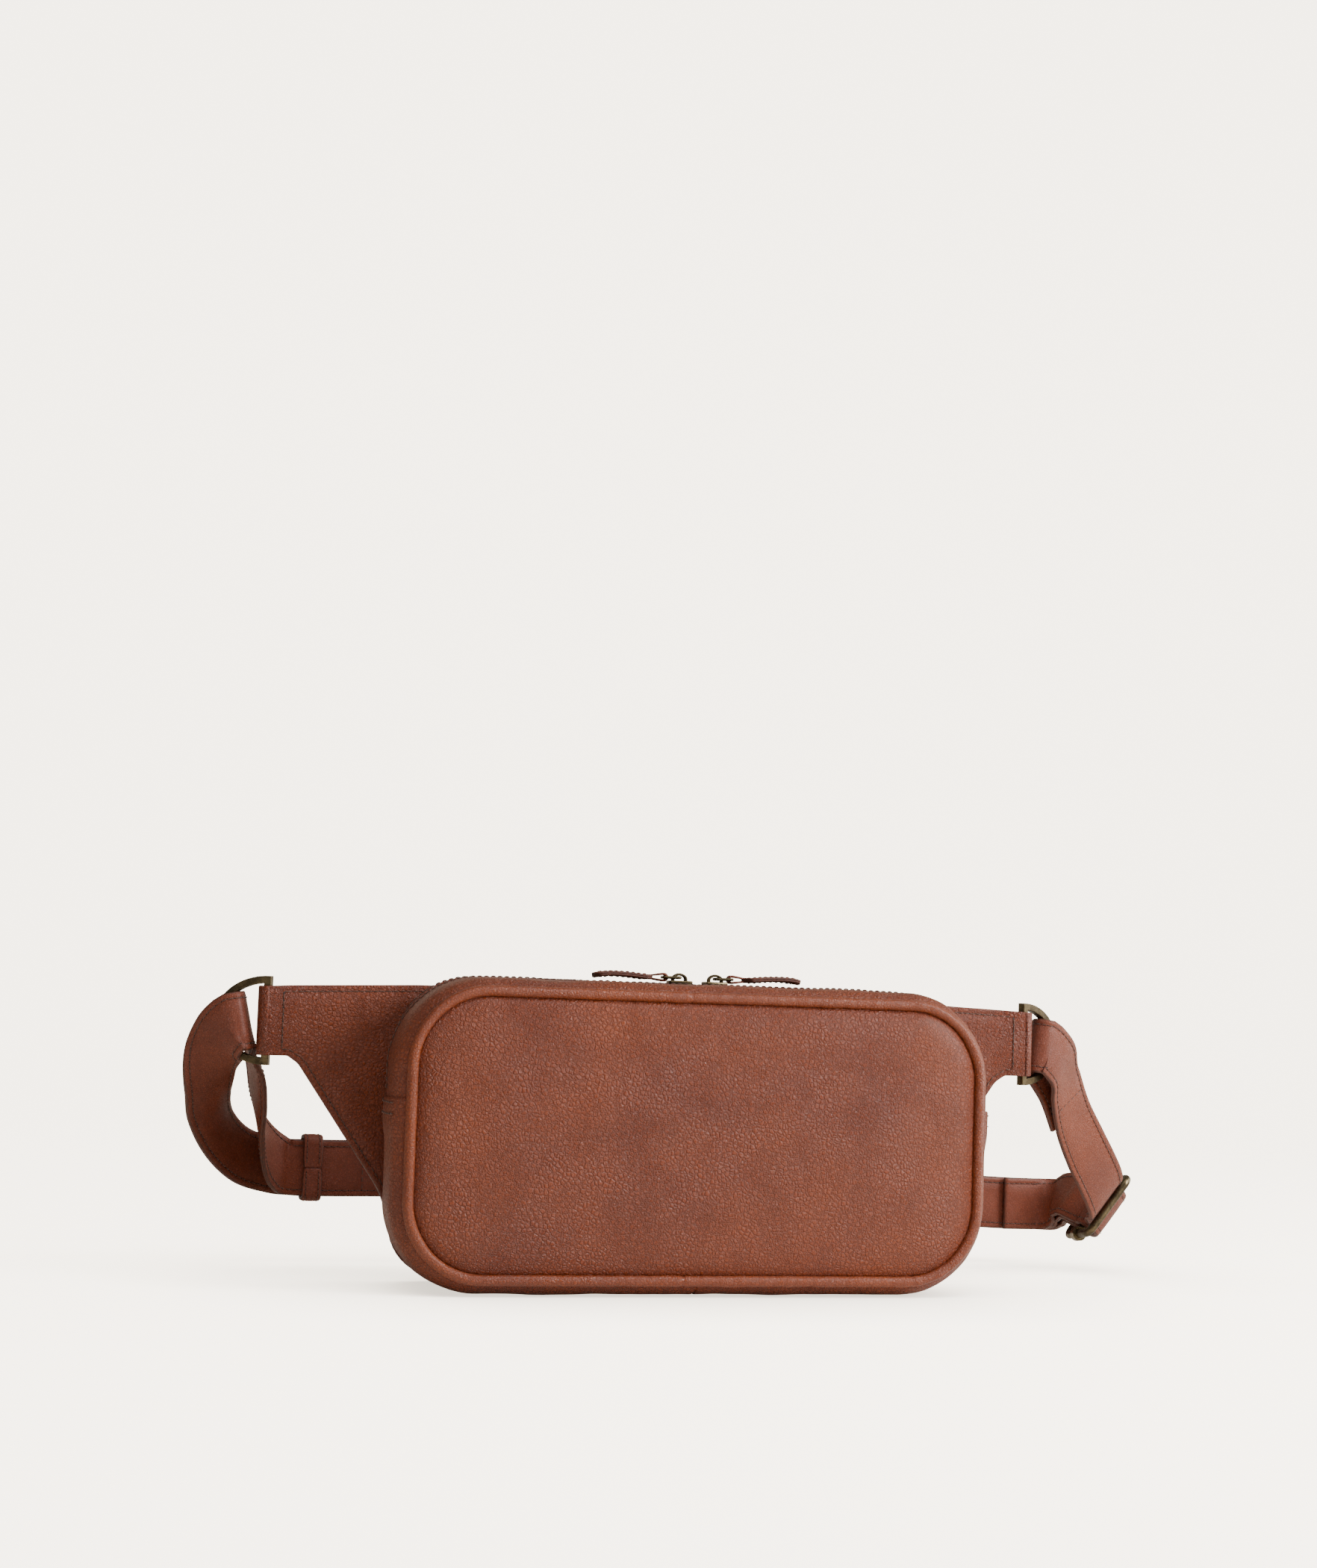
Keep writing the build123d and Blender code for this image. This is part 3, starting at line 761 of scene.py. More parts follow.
@dataclass
class Pouch:
    """Walls of the pouch: the zipped upper gusset and the lower one that laps over it."""

    crown: RoundedLoop = RoundedLoop(252.0, 125.0, 37.0, 62.5)
    leather: float = 1.8
    lap: float = 1.1
    lap_height: float = 76.6
    zip_edge: float = 7.0
    rear: float = 29.0
    front: float = -28.6

    def insets(self, y: float) -> tuple[float, float, float]:
        """How far the side, the bottom and the top are drawn in at a depth."""
        keys = (
            (-29.0, 5.6, 5.6, 5.6), (-27.2, 3.6, 3.6, 3.8), (-25.6, 1.7, 1.7, 2.2), (-23.2, 0.5, 0.5, 1.3),
            (-20.0, 0.0, 0.0, 0.9),
            (-10.0, 0.3, 0.0, 0.7), (-4.0, 1.6, 0.0, 0.6), (7.0, 5.0, 0.0, 0.7), (13.0, 7.0, 0.0, 0.9),
            (22.0, 9.8, 0.1, 1.6),
            (26.5, 11.4, 1.2, 3.0), (29.2, 12.6, 3.6, 5.2),
        )
        for first, second in zip(keys, keys[1:]):
            if y <= second[0]:
                part = min(max((y - first[0]) / (second[0] - first[0]), 0.0), 1.0)
                return tuple(a + (b - a) * part for a, b in zip(first[1:], second[1:]))
        return keys[-1][1:]

    def wall(self, distance: float, y: float, inwards: float) -> tuple[Vector, Vector]:
        """Point on the wall.

        Args:
            distance: Distance round the pouch, along the crown.
            y: Depth of the point.
            inwards: Distance from the wall's outer face.

        Returns:
            The point and the outward direction.
        """
        side, bottom, top = self.insets(y)
        crown = self.crown
        loop = RoundedLoop(
            crown.width - 2 * side, crown.height - bottom - top, crown.radius - side * 0.8,
            crown.middle + (bottom - top) / 2
        )
        point, out = loop.at(distance, crown)
        soft = (
            0.45 * ripple(Vector((point.x, y * 1.4, point.z)), 24.0, 3.0)
            + 0.16 * ripple(Vector((point.x, y, point.z)), 8.0, 7.0)
        )
        soft *= ease((y - self.front) / 6.0) * ease((self.rear - y) / 6.0)
        return point + Vector((0, y, 0)) + out * (soft - inwards), out

    def at_right(self, z: float) -> float:
        """Distance along the crown of a height on the right side."""
        return z - self.crown.middle

    def at_left(self, z: float) -> float:
        """Distance along the crown of a height on the left side."""
        spans = self.crown.spans()
        return sum(spans[:4]) + (self.crown.middle + self.crown.height / 2 - self.crown.radius - z)

    def strip(
        self, section: Sequence[tuple[float, float]], distances: Sequence[float],
        lift: Callable[[float], float],
    ) -> tuple[list[Vector], list[tuple[int, ...]]]:
        """Sweep a closed section of depth and inset round the pouch, raised by a lift at each distance."""
        rings = [[self.wall(d, y, inset - lift(d))[0] for y, inset in section] for d in distances]
        return skin(rings, closed_path=False)

    def section(
        self, start: float, end: float, start_round: bool, end_round: bool
    ) -> list[tuple[float, float]]:
        """Closed section of a strip from one depth to another, with its folded edges rounded."""
        t = self.leather
        count = max(int((end - start) / 2.0), 2)
        outer = [(start + (end - start) * i / count, 0.0) for i in range(count + 1)]
        if start_round:
            outer = (
                [(start + 0.15, 1.0), (start, 0.7), (start + 0.3, 0.25), (start + 0.9, 0.0)]
                + [p for p in outer if p[0] > start + 1.2]
            )
        if end_round:
            outer = (
                [p for p in outer if p[0] < end - 1.2]
                + [(end - 0.9, 0.0), (end - 0.3, 0.25), (end, 0.7), (end - 0.15, 1.0)]
            )
        return outer + [(end - 0.3, t), ((start + end) / 2, t), (start + 0.3, t)]

    def distances(
        self, start: float, end: float, step: float = 1.5, fine: Sequence[float] = ()
    ) -> list[float]:
        """Even distances round the pouch, with closer ones near some places."""
        count = int((end - start) / step)
        values = {round(start + (end - start) * i / count, 3) for i in range(count + 1)}
        for place in fine:
            values |= {round(place + offset, 3) for offset in (-0.9, -0.5, -0.25, 0.0, 0.25, 0.5, 0.9)}
        return sorted(values)

    def build_lining(
        self, name: str, reach: tuple[float, float], distances: Sequence[float], node: str, palette: Palette
    ) -> None:
        """Build a strip of lining on the wall's inner face.

        Args:
            name: Name of the strip.
            reach: First and last depth.
            distances: Distances round the pouch.
            node: The CAD node that it stands for.
            palette: The finishes.
        """
        count = 12
        depths = [reach[0] + (reach[1] - reach[0]) * i / count for i in range(count + 1)]
        section = [(y, 2.9) for y in depths] + [(y, 3.6) for y in reversed(depths)]
        points, faces = self.strip(section, distances, lambda d: 0.0)
        settle(new_piece(name, points, faces, [palette["lining_cloth"]]), ROOT, "lining_cloth", node)

    def build(self, palette: Palette) -> None:
        """Build the gussets and their stitching."""
        leather = [palette["body_leather"]]
        upper = self.distances(self.at_right(70.0), self.at_left(70.0))
        for name, start, end in (("front", self.front, -self.zip_edge), ("rear", self.zip_edge, self.rear)):
            section = self.section(start, end, name == "rear", name == "front")
            points, faces = self.strip(section, upper, lambda d: 0.0)
            settle(
                new_piece(f"upper_gusset_{name}", points, faces, leather), ROOT, "body_leather",
                f"top_gusset_{name}",
            )
            reach = (self.front + 3.0, -13.0) if name == "front" else (13.0, self.rear - 1.0)
            self.build_lining(f"lining_{name}_strip", reach, upper, f"lining_gusset_{name}", palette)
        total = sum(self.crown.spans())
        first, last = self.at_left(self.lap_height), total + self.at_right(self.lap_height)
        bottom = sum(self.crown.spans()[:6]) + self.crown.spans()[6] / 2

        def lift(distance: float) -> float:
            """Rise of the lap at both ends, and the dip at the seam in the middle of the bottom."""
            end = min(distance - first, last - distance)
            rise = self.lap * (1.0 - ease((end - 9.0) / 10.0)) * ease((end + 0.6) / 1.2)
            return rise - 0.9 * math.exp(-(((distance - bottom) / 0.45) ** 2))

        lower = self.distances(first, last, fine=(bottom,))
        between = [d for d in lower if first + 1.2 < d < last - 1.2]
        edge = (0.0, 0.15, 0.4, 0.8)
        lower = [first + d for d in edge] + between + [last - d for d in reversed(edge)]
        points, faces = self.strip(self.section(self.front, self.rear, False, False), lower, lift)
        settle(new_piece("lower_gusset", points, faces, leather), ROOT, "body_leather", "bottom_gusset")
        reach = (self.front + 3.0, self.rear - 1.0)
        band = self.distances(first + 2.0, last - 2.0)
        self.build_lining("lining_lower_band", reach, band, "lining_gusset_lower", palette)
        stitching = Stitching()
        for y in (-self.zip_edge - 2.5, self.zip_edge + 2.5):
            stitching.row(
                [self.wall(d, y, -0.05) for d in self.distances(self.at_right(79.0), self.at_left(79.0))]
            )
        for below in (1.9, 6.4):
            for place in (first + below, last - below):
                rise = lift(place)
                stitching.row([self.wall(place, y, -rise - 0.05) for y in range(-25, 28)])
        stitching.build("gusset_stitching", palette, ROOT, "body_leather")


@dataclass
class FrontPanel:
    """Padded front panel and the corded piping round it."""

    face: RoundedLoop = RoundedLoop(236.0, 109.0, 29.0, 62.5)
    cord_line: RoundedLoop = RoundedLoop(239.5, 112.5, 30.75, 62.5)
    seam: float = -29.0
    rise: float = 6.4
    cord_radius: float = 2.25
    grid: float = 1.7
    joint_x: float = -7.0

    def crown(self, x: float, z: float) -> float:
        """Height of the padding over the seam at a place."""
        depth = self.face.depth(x, z)
        puff = 0.66 * (1.0 - math.exp(-max(depth, 0.0) / 4.2)) + 0.34 * ease(depth / 46.0)
        place = Vector((x, 0.0, z))
        soft = 0.62 * ripple(place, 46.0, 1.0) + 0.3 * ripple(place, 19.0, 5.0)
        angle = math.atan2(z - self.face.middle, x)
        pleats = (
            0.34 * ripple(Vector((math.cos(angle) * 62.0, math.sin(angle) * 62.0, depth * 0.12)), 3.6, 9.0)
            * math.exp(-depth / 9.0)
        )
        return self.rise * puff + (soft + pleats) * ease(depth / 6.0)

    def build_panel(self, palette: Palette) -> None:
        """Build the crowned panel as a closed form with a flat back."""
        total = sum(self.face.spans())
        form = bmesh.new()
        rim = [self.face.at(total * i / 300, self.face)[0] for i in range(300)]
        form.faces.new([form.verts.new(point) for point in rim])
        steps = int(self.face.width / self.grid / 2) + 1
        for axis, middle in ((Vector((1, 0, 0)), 0.0), (Vector((0, 0, 1)), self.face.middle)):
            for i in range(-steps, steps + 1):
                centre = axis * (middle + i * self.grid)
                everything = form.verts[:] + form.edges[:] + form.faces[:]
                bmesh.ops.bisect_plane(form, geom=everything, dist=1e-4, plane_co=centre, plane_no=axis)
        bmesh.ops.remove_doubles(form, verts=form.verts, dist=0.05)
        border = [edge for edge in form.edges if edge.is_boundary]
        sunk = bmesh.ops.extrude_edge_only(form, edges=border)
        walls = [item for item in sunk["geom"] if isinstance(item, bmesh.types.BMVert)]
        low = set(walls)
        for vert in form.verts:
            if vert in low:
                vert.co.y = self.seam + 0.4
            else:
                vert.co.y = self.seam - self.crown(vert.co.x, vert.co.z)
        bmesh.ops.holes_fill(form, edges=[edge for edge in form.edges if edge.is_boundary], sides=0)
        bmesh.ops.recalc_face_normals(form, faces=form.faces)
        bmesh.ops.scale(form, vec=Vector((MM, MM, MM)), verts=form.verts)
        mesh = bpy.data.meshes.new("front_face")
        form.to_mesh(mesh)
        form.free()
        mesh.materials.append(palette["body_leather"])
        piece = bpy.data.objects.new("front_face", mesh)
        bpy.context.scene.collection.objects.link(piece)
        bpy.ops.object.select_all(action="DESELECT")
        bpy.context.view_layer.objects.active = piece
        piece.select_set(True)
        bpy.ops.object.shade_smooth()
        settle(piece, ROOT, "body_leather", "front_panel", "front_padding")

    def build_piping(self, palette: Palette) -> None:
        """Build the cord in its leather strip, puckered across, with a joint at the top and the bottom."""
        total = sum(self.cord_line.spans())
        count = int(total / 0.9)
        rings = []
        for i in range(count):
            point, out = self.cord_line.at(total * i / count, self.cord_line)
            centre = point + Vector((0, self.seam - 0.4, 0))
            loose = ease((point.x + 70.0) / 60.0)
            ring = []
            for j in range(14):
                angle = 2 * math.pi * j / 14
                way = out * math.cos(angle) - Vector((0, 1, 0)) * math.sin(angle)
                spot = centre + way * self.cord_radius
                pucker = (
                    (0.05 + 0.2 * loose) * ripple(Vector((i * 0.9, j * 0.25, 0)), 1.7, 2.0)
                    + 0.1 * ripple(spot, 14.0)
                )
                gather = (
                    -0.5 * math.exp(-(((point.x - self.joint_x) / 0.7) ** 2)) if abs(out.z) > 0.9 else 0.0
                )
                ring.append(centre + way * (self.cord_radius + pucker + gather))
            rings.append(ring)
        points, faces = skin(rings, closed_path=True)
        settle(
            new_piece("piping", points, faces, [palette["piping_leather"]]), ROOT, "piping_leather",
            "front_piping", "front_piping_core",
        )

    def build(self, palette: Palette) -> None:
        """Build the panel and its piping."""
        self.build_panel(palette)
        self.build_piping(palette)


@dataclass
class BackPanel:
    """Back panel of two plies that run out into wings, each wing folded round a ring's bar."""

    middle_y: float = 31.8
    ply: float = 1.8
    swell: float = 0.75
    barrel: float = 4.0
    bar_x: float = 167.5
    tab_start: float = 156.0
    grid: float = 5.0
    seam_inset: float = 2.6
    tab_low: float = 90.0
    tab_high: float = 118.0
    fold_rounding: float = 0.4
    cross_row_x: float = 161.6

    def outline(self, inset: float = 0.0) -> list[Vector]:
        """Outline of a ply, anticlockwise as seen from the front, drawn in by an inset."""
        corners = (
            (110.0 - inset, 1.5 + inset, 22.0), (117.0 - inset, 34.0, 40.0),
            (154.0 - inset * 0.6, 87.0 + inset * 0.8, 9.0),
            (158.5, 90.0 + inset, 3.0), (self.bar_x, 90.0 + inset, 0.0), (self.bar_x, 118.0 - inset, 0.0),
            (157.5, 118.6 - inset, 6.0), (106.0, 120.5 - inset, 60.0),
        )
        turns = [(Vector((x, 0, z)), r) for x, z, r in corners]
        turns += [(Vector((-x, 0, z)), r) for x, z, r in reversed(corners)]
        points: list[Vector] = []
        for i, (corner, radius) in enumerate(turns):
            if radius == 0.0:
                points.append(corner)
                continue
            before = (turns[i - 1][0] - corner).normalized()
            after = (turns[(i + 1) % len(turns)][0] - corner).normalized()
            opening = before.angle(after)
            reach = radius / math.tan(opening / 2)
            centre = corner + (before + after).normalized() * (radius / math.sin(opening / 2))
            start, end = corner + before * reach - centre, corner + after * reach - centre
            steps = 3 + int(radius / 3)
            for k in range(steps + 1):
                points.append(centre + start.slerp(end, k / steps, start).normalized() * radius)
        return points

    def outer_face(self, x: float, z: float, depth: float) -> float:
        """Distance of a ply's outer face from the middle of the panel."""
        swelling = (
            self.swell * ease(depth / 7.0)
            + 0.3 * ripple(Vector((x, 0, z)), 30.0, 11.0) * ease(depth / 10.0)
        )
        groove = -0.28 * math.exp(-(((depth - self.seam_inset) / 0.7) ** 2))
        flat = self.ply + 0.05 + swelling + groove
        fold = ease((abs(x) - self.tab_start) / (self.bar_x - self.tab_start))
        return flat + (self.barrel - flat) * fold

    def depth_at(self, point: Vector, rim: Sequence[Vector]) -> float:
        """Distance of a point from the outline, or a large number where it is far in."""
        best = 400.0
        for first, second in zip(rim, list(rim[1:]) + [rim[0]]):
            run = second - first
            part = min(max((point - first).dot(run) / max(run.length_squared, 1e-9), 0.0), 1.0)
            best = min(best, (point - (first + run * part)).length_squared)
        return math.sqrt(best)

    def build_ply(self, name: str, way: int, palette: Palette, *nodes: str) -> None:
        """Build one ply.

        Args:
            name: Name of the piece.
            way: -1 for the front ply, 1 for the rear one.
            palette: The finishes.
            nodes: The CAD nodes that it stands for.
        """
        rim = self.outline()
        form = bmesh.new()
        rings = [self.outline(inset) for inset in (0.0, 0.5, 1.6, 2.6, 3.6, 6.5)]
        loops = [[form.verts.new(point) for point in ring] for ring in rings]
        for outer, inner in zip(loops, loops[1:]):
            for j in range(len(outer)):
                k = (j + 1) % len(outer)
                form.faces.new((outer[j], outer[k], inner[k], inner[j]))
        form.faces.new(loops[-1])
        for axis, middle, reach in ((Vector((1, 0, 0)), 0.0, 170.0), (Vector((0, 0, 1)), 62.0, 64.0)):
            steps = int(reach / self.grid) + 1
            for i in range(-steps, steps + 1):
                everything = form.verts[:] + form.edges[:] + form.faces[:]
                bmesh.ops.bisect_plane(
                    form, geom=everything, dist=1e-3, plane_co=axis * (middle + i * self.grid),
                    plane_no=axis,
                )
        bmesh.ops.remove_doubles(form, verts=form.verts, dist=0.04)
        border = [edge for edge in form.edges if edge.is_boundary]
        walls = bmesh.ops.extrude_edge_only(form, edges=border)
        inner = {item for item in walls["geom"] if isinstance(item, bmesh.types.BMVert)}
        edge_faces = {item for item in walls["geom"] if isinstance(item, bmesh.types.BMFace)}
        for vert in form.verts:
            depth = self.depth_at(vert.co, rim)
            face = self.outer_face(vert.co.x, vert.co.z, depth)
            if depth < 0.2:
                face -= 0.35
            tab = ease((abs(vert.co.x) - self.tab_start) / (self.bar_x - self.tab_start))
            vert.co.y = (
                self.middle_y + way * ((0.06 + tab * (self.barrel - self.ply)) if vert in inner else face)
            )
        for face in edge_faces:
            face.material_index = 1
        bmesh.ops.holes_fill(form, edges=[edge for edge in form.edges if edge.is_boundary], sides=0)
        bmesh.ops.recalc_face_normals(form, faces=form.faces)
        bmesh.ops.scale(form, vec=Vector((MM, MM, MM)), verts=form.verts)
        mesh = bpy.data.meshes.new(name)
        form.to_mesh(mesh)
        form.free()
        for material in ("body_leather", "edge_paint"):
            mesh.materials.append(palette[material])
        piece = bpy.data.objects.new(name, mesh)
        bpy.context.scene.collection.objects.link(piece)
        bpy.ops.object.select_all(action="DESELECT")
        bpy.context.view_layer.objects.active = piece
        piece.select_set(True)
        bpy.ops.object.shade_smooth_by_angle(angle=math.radians(50))
        settle(piece, ROOT, "body_leather", *nodes)

    def build_fold(self, side: Side, palette: Palette) -> None:
        """Build the leather that goes round a ring's bar, from face to face of the wing's end."""
        rings = []
        sign = side.value
        low, high, edge = self.tab_low, self.tab_high, self.fold_rounding
        levels = ((low, 0.35), (low + edge, 0.0), ((low + high) / 2, 0.0), (high - edge, 0.0), (high, 0.35))
        for z, pinch in levels:
            ring = []
            for radius, order in (
                (self.barrel - pinch, range(13)), (self.barrel - self.ply + pinch, range(12, -1, -1))
            ):
                for j in order:
                    angle = math.radians(-90 + 180 * j / 12)
                    x = sign * (self.bar_x + radius * math.cos(angle))
                    ring.append(Vector((x, self.middle_y + radius * math.sin(angle), z)))
            rings.append(ring)
        points, faces = skin(rings, closed_path=False)
        slots = [0] * (len(faces) - 2) + [1, 1]
        piece = new_piece(
            f"wing_fold_{side.word}", points, faces, [palette["body_leather"], palette["edge_paint"]], slots
        )
        settle(piece, ROOT, "body_leather", f"wing_tab_{side.word}")

    def build_stitching(self, palette: Palette) -> None:
        """Sew round both plies and across each wing's end."""
        stitching = Stitching()
        rim = self.outline()
        line = even_path(self.outline(self.seam_inset), 1.4, closed=True)
        for way in (-1, 1):
            track: list[tuple[Vector, Vector]] = []
            for point in line + [line[0]]:
                hidden = way < 0 and abs(point.x) < 96.0
                if abs(point.x) > self.cross_row_x or hidden:
                    if len(track) > 3:
                        stitching.row(track)
                    track = []
                    continue
                face = self.outer_face(point.x, point.z, self.seam_inset)
                track.append((Vector((point.x, self.middle_y + way * face, point.z)), Vector((0, way, 0))))
            if len(track) > 3:
                stitching.row(track)
            for side in Side:
                x = side.value * self.cross_row_x
                heights = [92.6 + 0.5 * i for i in range(46)]
                cross = []
                for z in heights:
                    face = self.outer_face(x, z, self.depth_at(Vector((x, 0, z)), rim))
                    cross.append((Vector((x, self.middle_y + way * face, z)), Vector((0, way, 0))))
                stitching.row(cross)
        stitching.build("back_panel_stitching", palette, ROOT, "body_leather")

    def build(self, palette: Palette) -> None:
        """Build the plies, the folds and the stitching."""
        self.build_ply("back_panel_front", -1, palette, "back_panel_front_ply", "back_panel_foam")
        self.build_ply("back_panel_rear", 1, palette, "back_panel_rear_ply")
        for side in Side:
            self.build_fold(side, palette)
        self.build_stitching(palette)


# Strap -----------------------------------------------------------------------------------------


def stations(*rows: Sequence[float]) -> list[Station]:
    """Stations from rows of a point's three coordinates and a width direction's three."""
    return [(Vector(row[:3]), Vector(row[3:]).normalized()) for row in rows]


def headings(path: Sequence[Station]) -> list[Vector]:
    """Direction of travel at each station of a path."""
    last = len(path) - 1
    return [(path[min(i + 1, last)][0] - path[max(i - 1, 0)][0]).normalized() for i in range(last + 1)]


def lifted(path: Sequence[Station], lifts: Sequence[float]) -> list[Station]:
    """A path moved off the given one along the strap's face, by one lift for each station."""
    result = []
    for (point, across), heading, lift in zip(path, headings(path), lifts):
        square = (across - heading * across.dot(heading)).normalized()
        result.append((point + square.cross(heading) * lift, across))
    return result


@dataclass
class Ribbon:
    """Flat strip of two plies along a path, with rounded painted edges and a line between the plies."""

    width: float = 24.0
    thickness: float = 2.3
    step: float = 1.6
    edge: float = 0.55
    row_inset: float = 2.6

    def smooth(self, path: Sequence[Station]) -> list[tuple[Vector, Vector, Vector]]:
        """Even stations on a smooth curve through a path.

        Args:
            path: The stations of the path.

        Returns:
            Point, width direction and facing direction of each even station.
        """
        turned: list[Station] = [path[0]]
        for point, across in path[1:]:
            turned.append((point, across if across.dot(turned[-1][1]) >= 0 else -across))
        points = [point for point, _ in turned]
        knots = [0.0]
        for first, second in zip(points, points[1:]):
            knots.append(knots[-1] + max((second - first).length, 1e-3) ** 0.5)
        count = len(turned)
        samples: list[Station] = []
        for i in range(count - 1):
            parts = max(int((points[i + 1] - points[i]).length / 0.8), 2)
            for k in range(parts + (1 if i == count - 2 else 0)):
                u = k / parts
                mixed = []
                for values in (points, [across for _, across in turned]):
                    v0, v1 = values[i], values[i + 1]
                    width = knots[i + 1] - knots[i]
                    before = (
                        (v1 - values[i - 1]) * (width / (knots[i + 1] - knots[i - 1])) if i > 0 else v1 - v0
                    )
                    after = (
                        (values[i + 2] - v0) * (width / (knots[i + 2] - knots[i])) if i < count - 2 else v1
                        - v0
                    )
                    mixed.append(
                        v0 * (2 * u**3 - 3 * u**2 + 1) + before * (u**3 - 2 * u**2 + u)
                        + v1 * (3 * u**2 - 2 * u**3) + after * (u**3 - u**2)
                    )
                samples.append((mixed[0], mixed[1].normalized()))
        lengths = [0.0]
        for first, second in zip(samples, samples[1:]):
            lengths.append(lengths[-1] + (second[0] - first[0]).length)
        result = []
        span = 0
        total = max(int(lengths[-1] / self.step), 2)
        for i in range(total + 1):
            wanted = lengths[-1] * i / total
            while span < len(lengths) - 2 and lengths[span + 1] < wanted:
                span += 1
            part = (wanted - lengths[span]) / max(lengths[span + 1] - lengths[span], 1e-9)
            result.append(
                (
                    samples[span][0].lerp(samples[span + 1][0], part),
                    samples[span][1].lerp(samples[span + 1][1], part),
                )
            )
        track = []
        for (point, across), heading in zip(result, headings(result)):
            square = (across - heading * across.dot(heading)).normalized()
            track.append((point, square, square.cross(heading)))
        return track

    def section(self, width: float) -> list[tuple[float, float, int]]:
        """Closed section: place across, height and material of the face that starts there."""
        half, t, e = width / 2, self.thickness / 2, self.edge
        row = half - self.row_inset
        top = [
            (-half + e, t - 0.12, 0), (-row - 0.5, t, 0), (-row, t - 0.2, 0), (-row + 0.6, t, 0),
            (-half * 0.4, t + 0.08, 0), (0.0, t + 0.1, 0), (half * 0.4, t + 0.08, 0), (row - 0.6, t, 0),
            (row, t - 0.2, 0), (row + 0.5, t, 0), (half - e, t - 0.12, 1),
        ]
        right = [
            (half, t - 0.5, 1), (half, 0.16, 1), (half - 0.28, 0.0, 1), (half, -0.16, 1),
            (half, -t + 0.5, 1),
        ]
        return top + right + [(-x, -z, m) for x, z, m in top] + [(-x, -z, m) for x, z, m in right]

    def build(
        self, name: str, track: Sequence[tuple[Vector, Vector, Vector]], palette: Palette,
        widths: Sequence[float] | None = None,
    ) -> bpy.types.Object:
        """Make the strip.

        Args:
            name: Name of the object.
            track: Even stations of the strip.
            palette: The finishes.
            widths: Width at each station, where it changes.

        Returns:
            The object.
        """
        rings = []
        slots = []
        for i, (point, across, facing) in enumerate(track):
            width = widths[i] if widths else self.width
            section = self.section(width)
            soft = 0.12 * ripple(point, 13.0, 4.0)
            rings.append([point + across * x + facing * (z + soft) for x, z, _ in section])
        for _ in range(len(rings) - 1):
            slots += [1 if m == 1 else 0 for _, _, m in self.section(self.width)]
        points, faces = skin(rings, closed_path=False)
        return new_piece(
            name, points, faces, [palette["strap_leather"], palette["edge_paint"]], slots + [1, 1]
        )

    def rows(self, stitching: Stitching, track: Sequence[tuple[Vector, Vector, Vector]]) -> None:
        """Sew along both edges of both faces of the strip."""
        offset = self.width / 2 - self.row_inset
        height = self.thickness / 2 - 0.06
        for face in (-1, 1):
            for way in (-1, 1):
                stitching.row([(p + a * (way * offset) + f * (face * height), f * face) for p, a, f in track])

    def cross_row(
        self, stitching: Stitching, station: tuple[Vector, Vector, Vector], margin: float = 2.8
    ) -> None:
        """Sew straight across both faces of the strip at a station."""
        point, across, facing = station
        reach = self.width / 2 - margin
        height = self.thickness / 2 + 0.02
        for face in (-1, 1):
            stitching.row(
                [(point + across * x + facing * (face * height), facing * face) for x in (-reach, 0.0, reach)]
            )


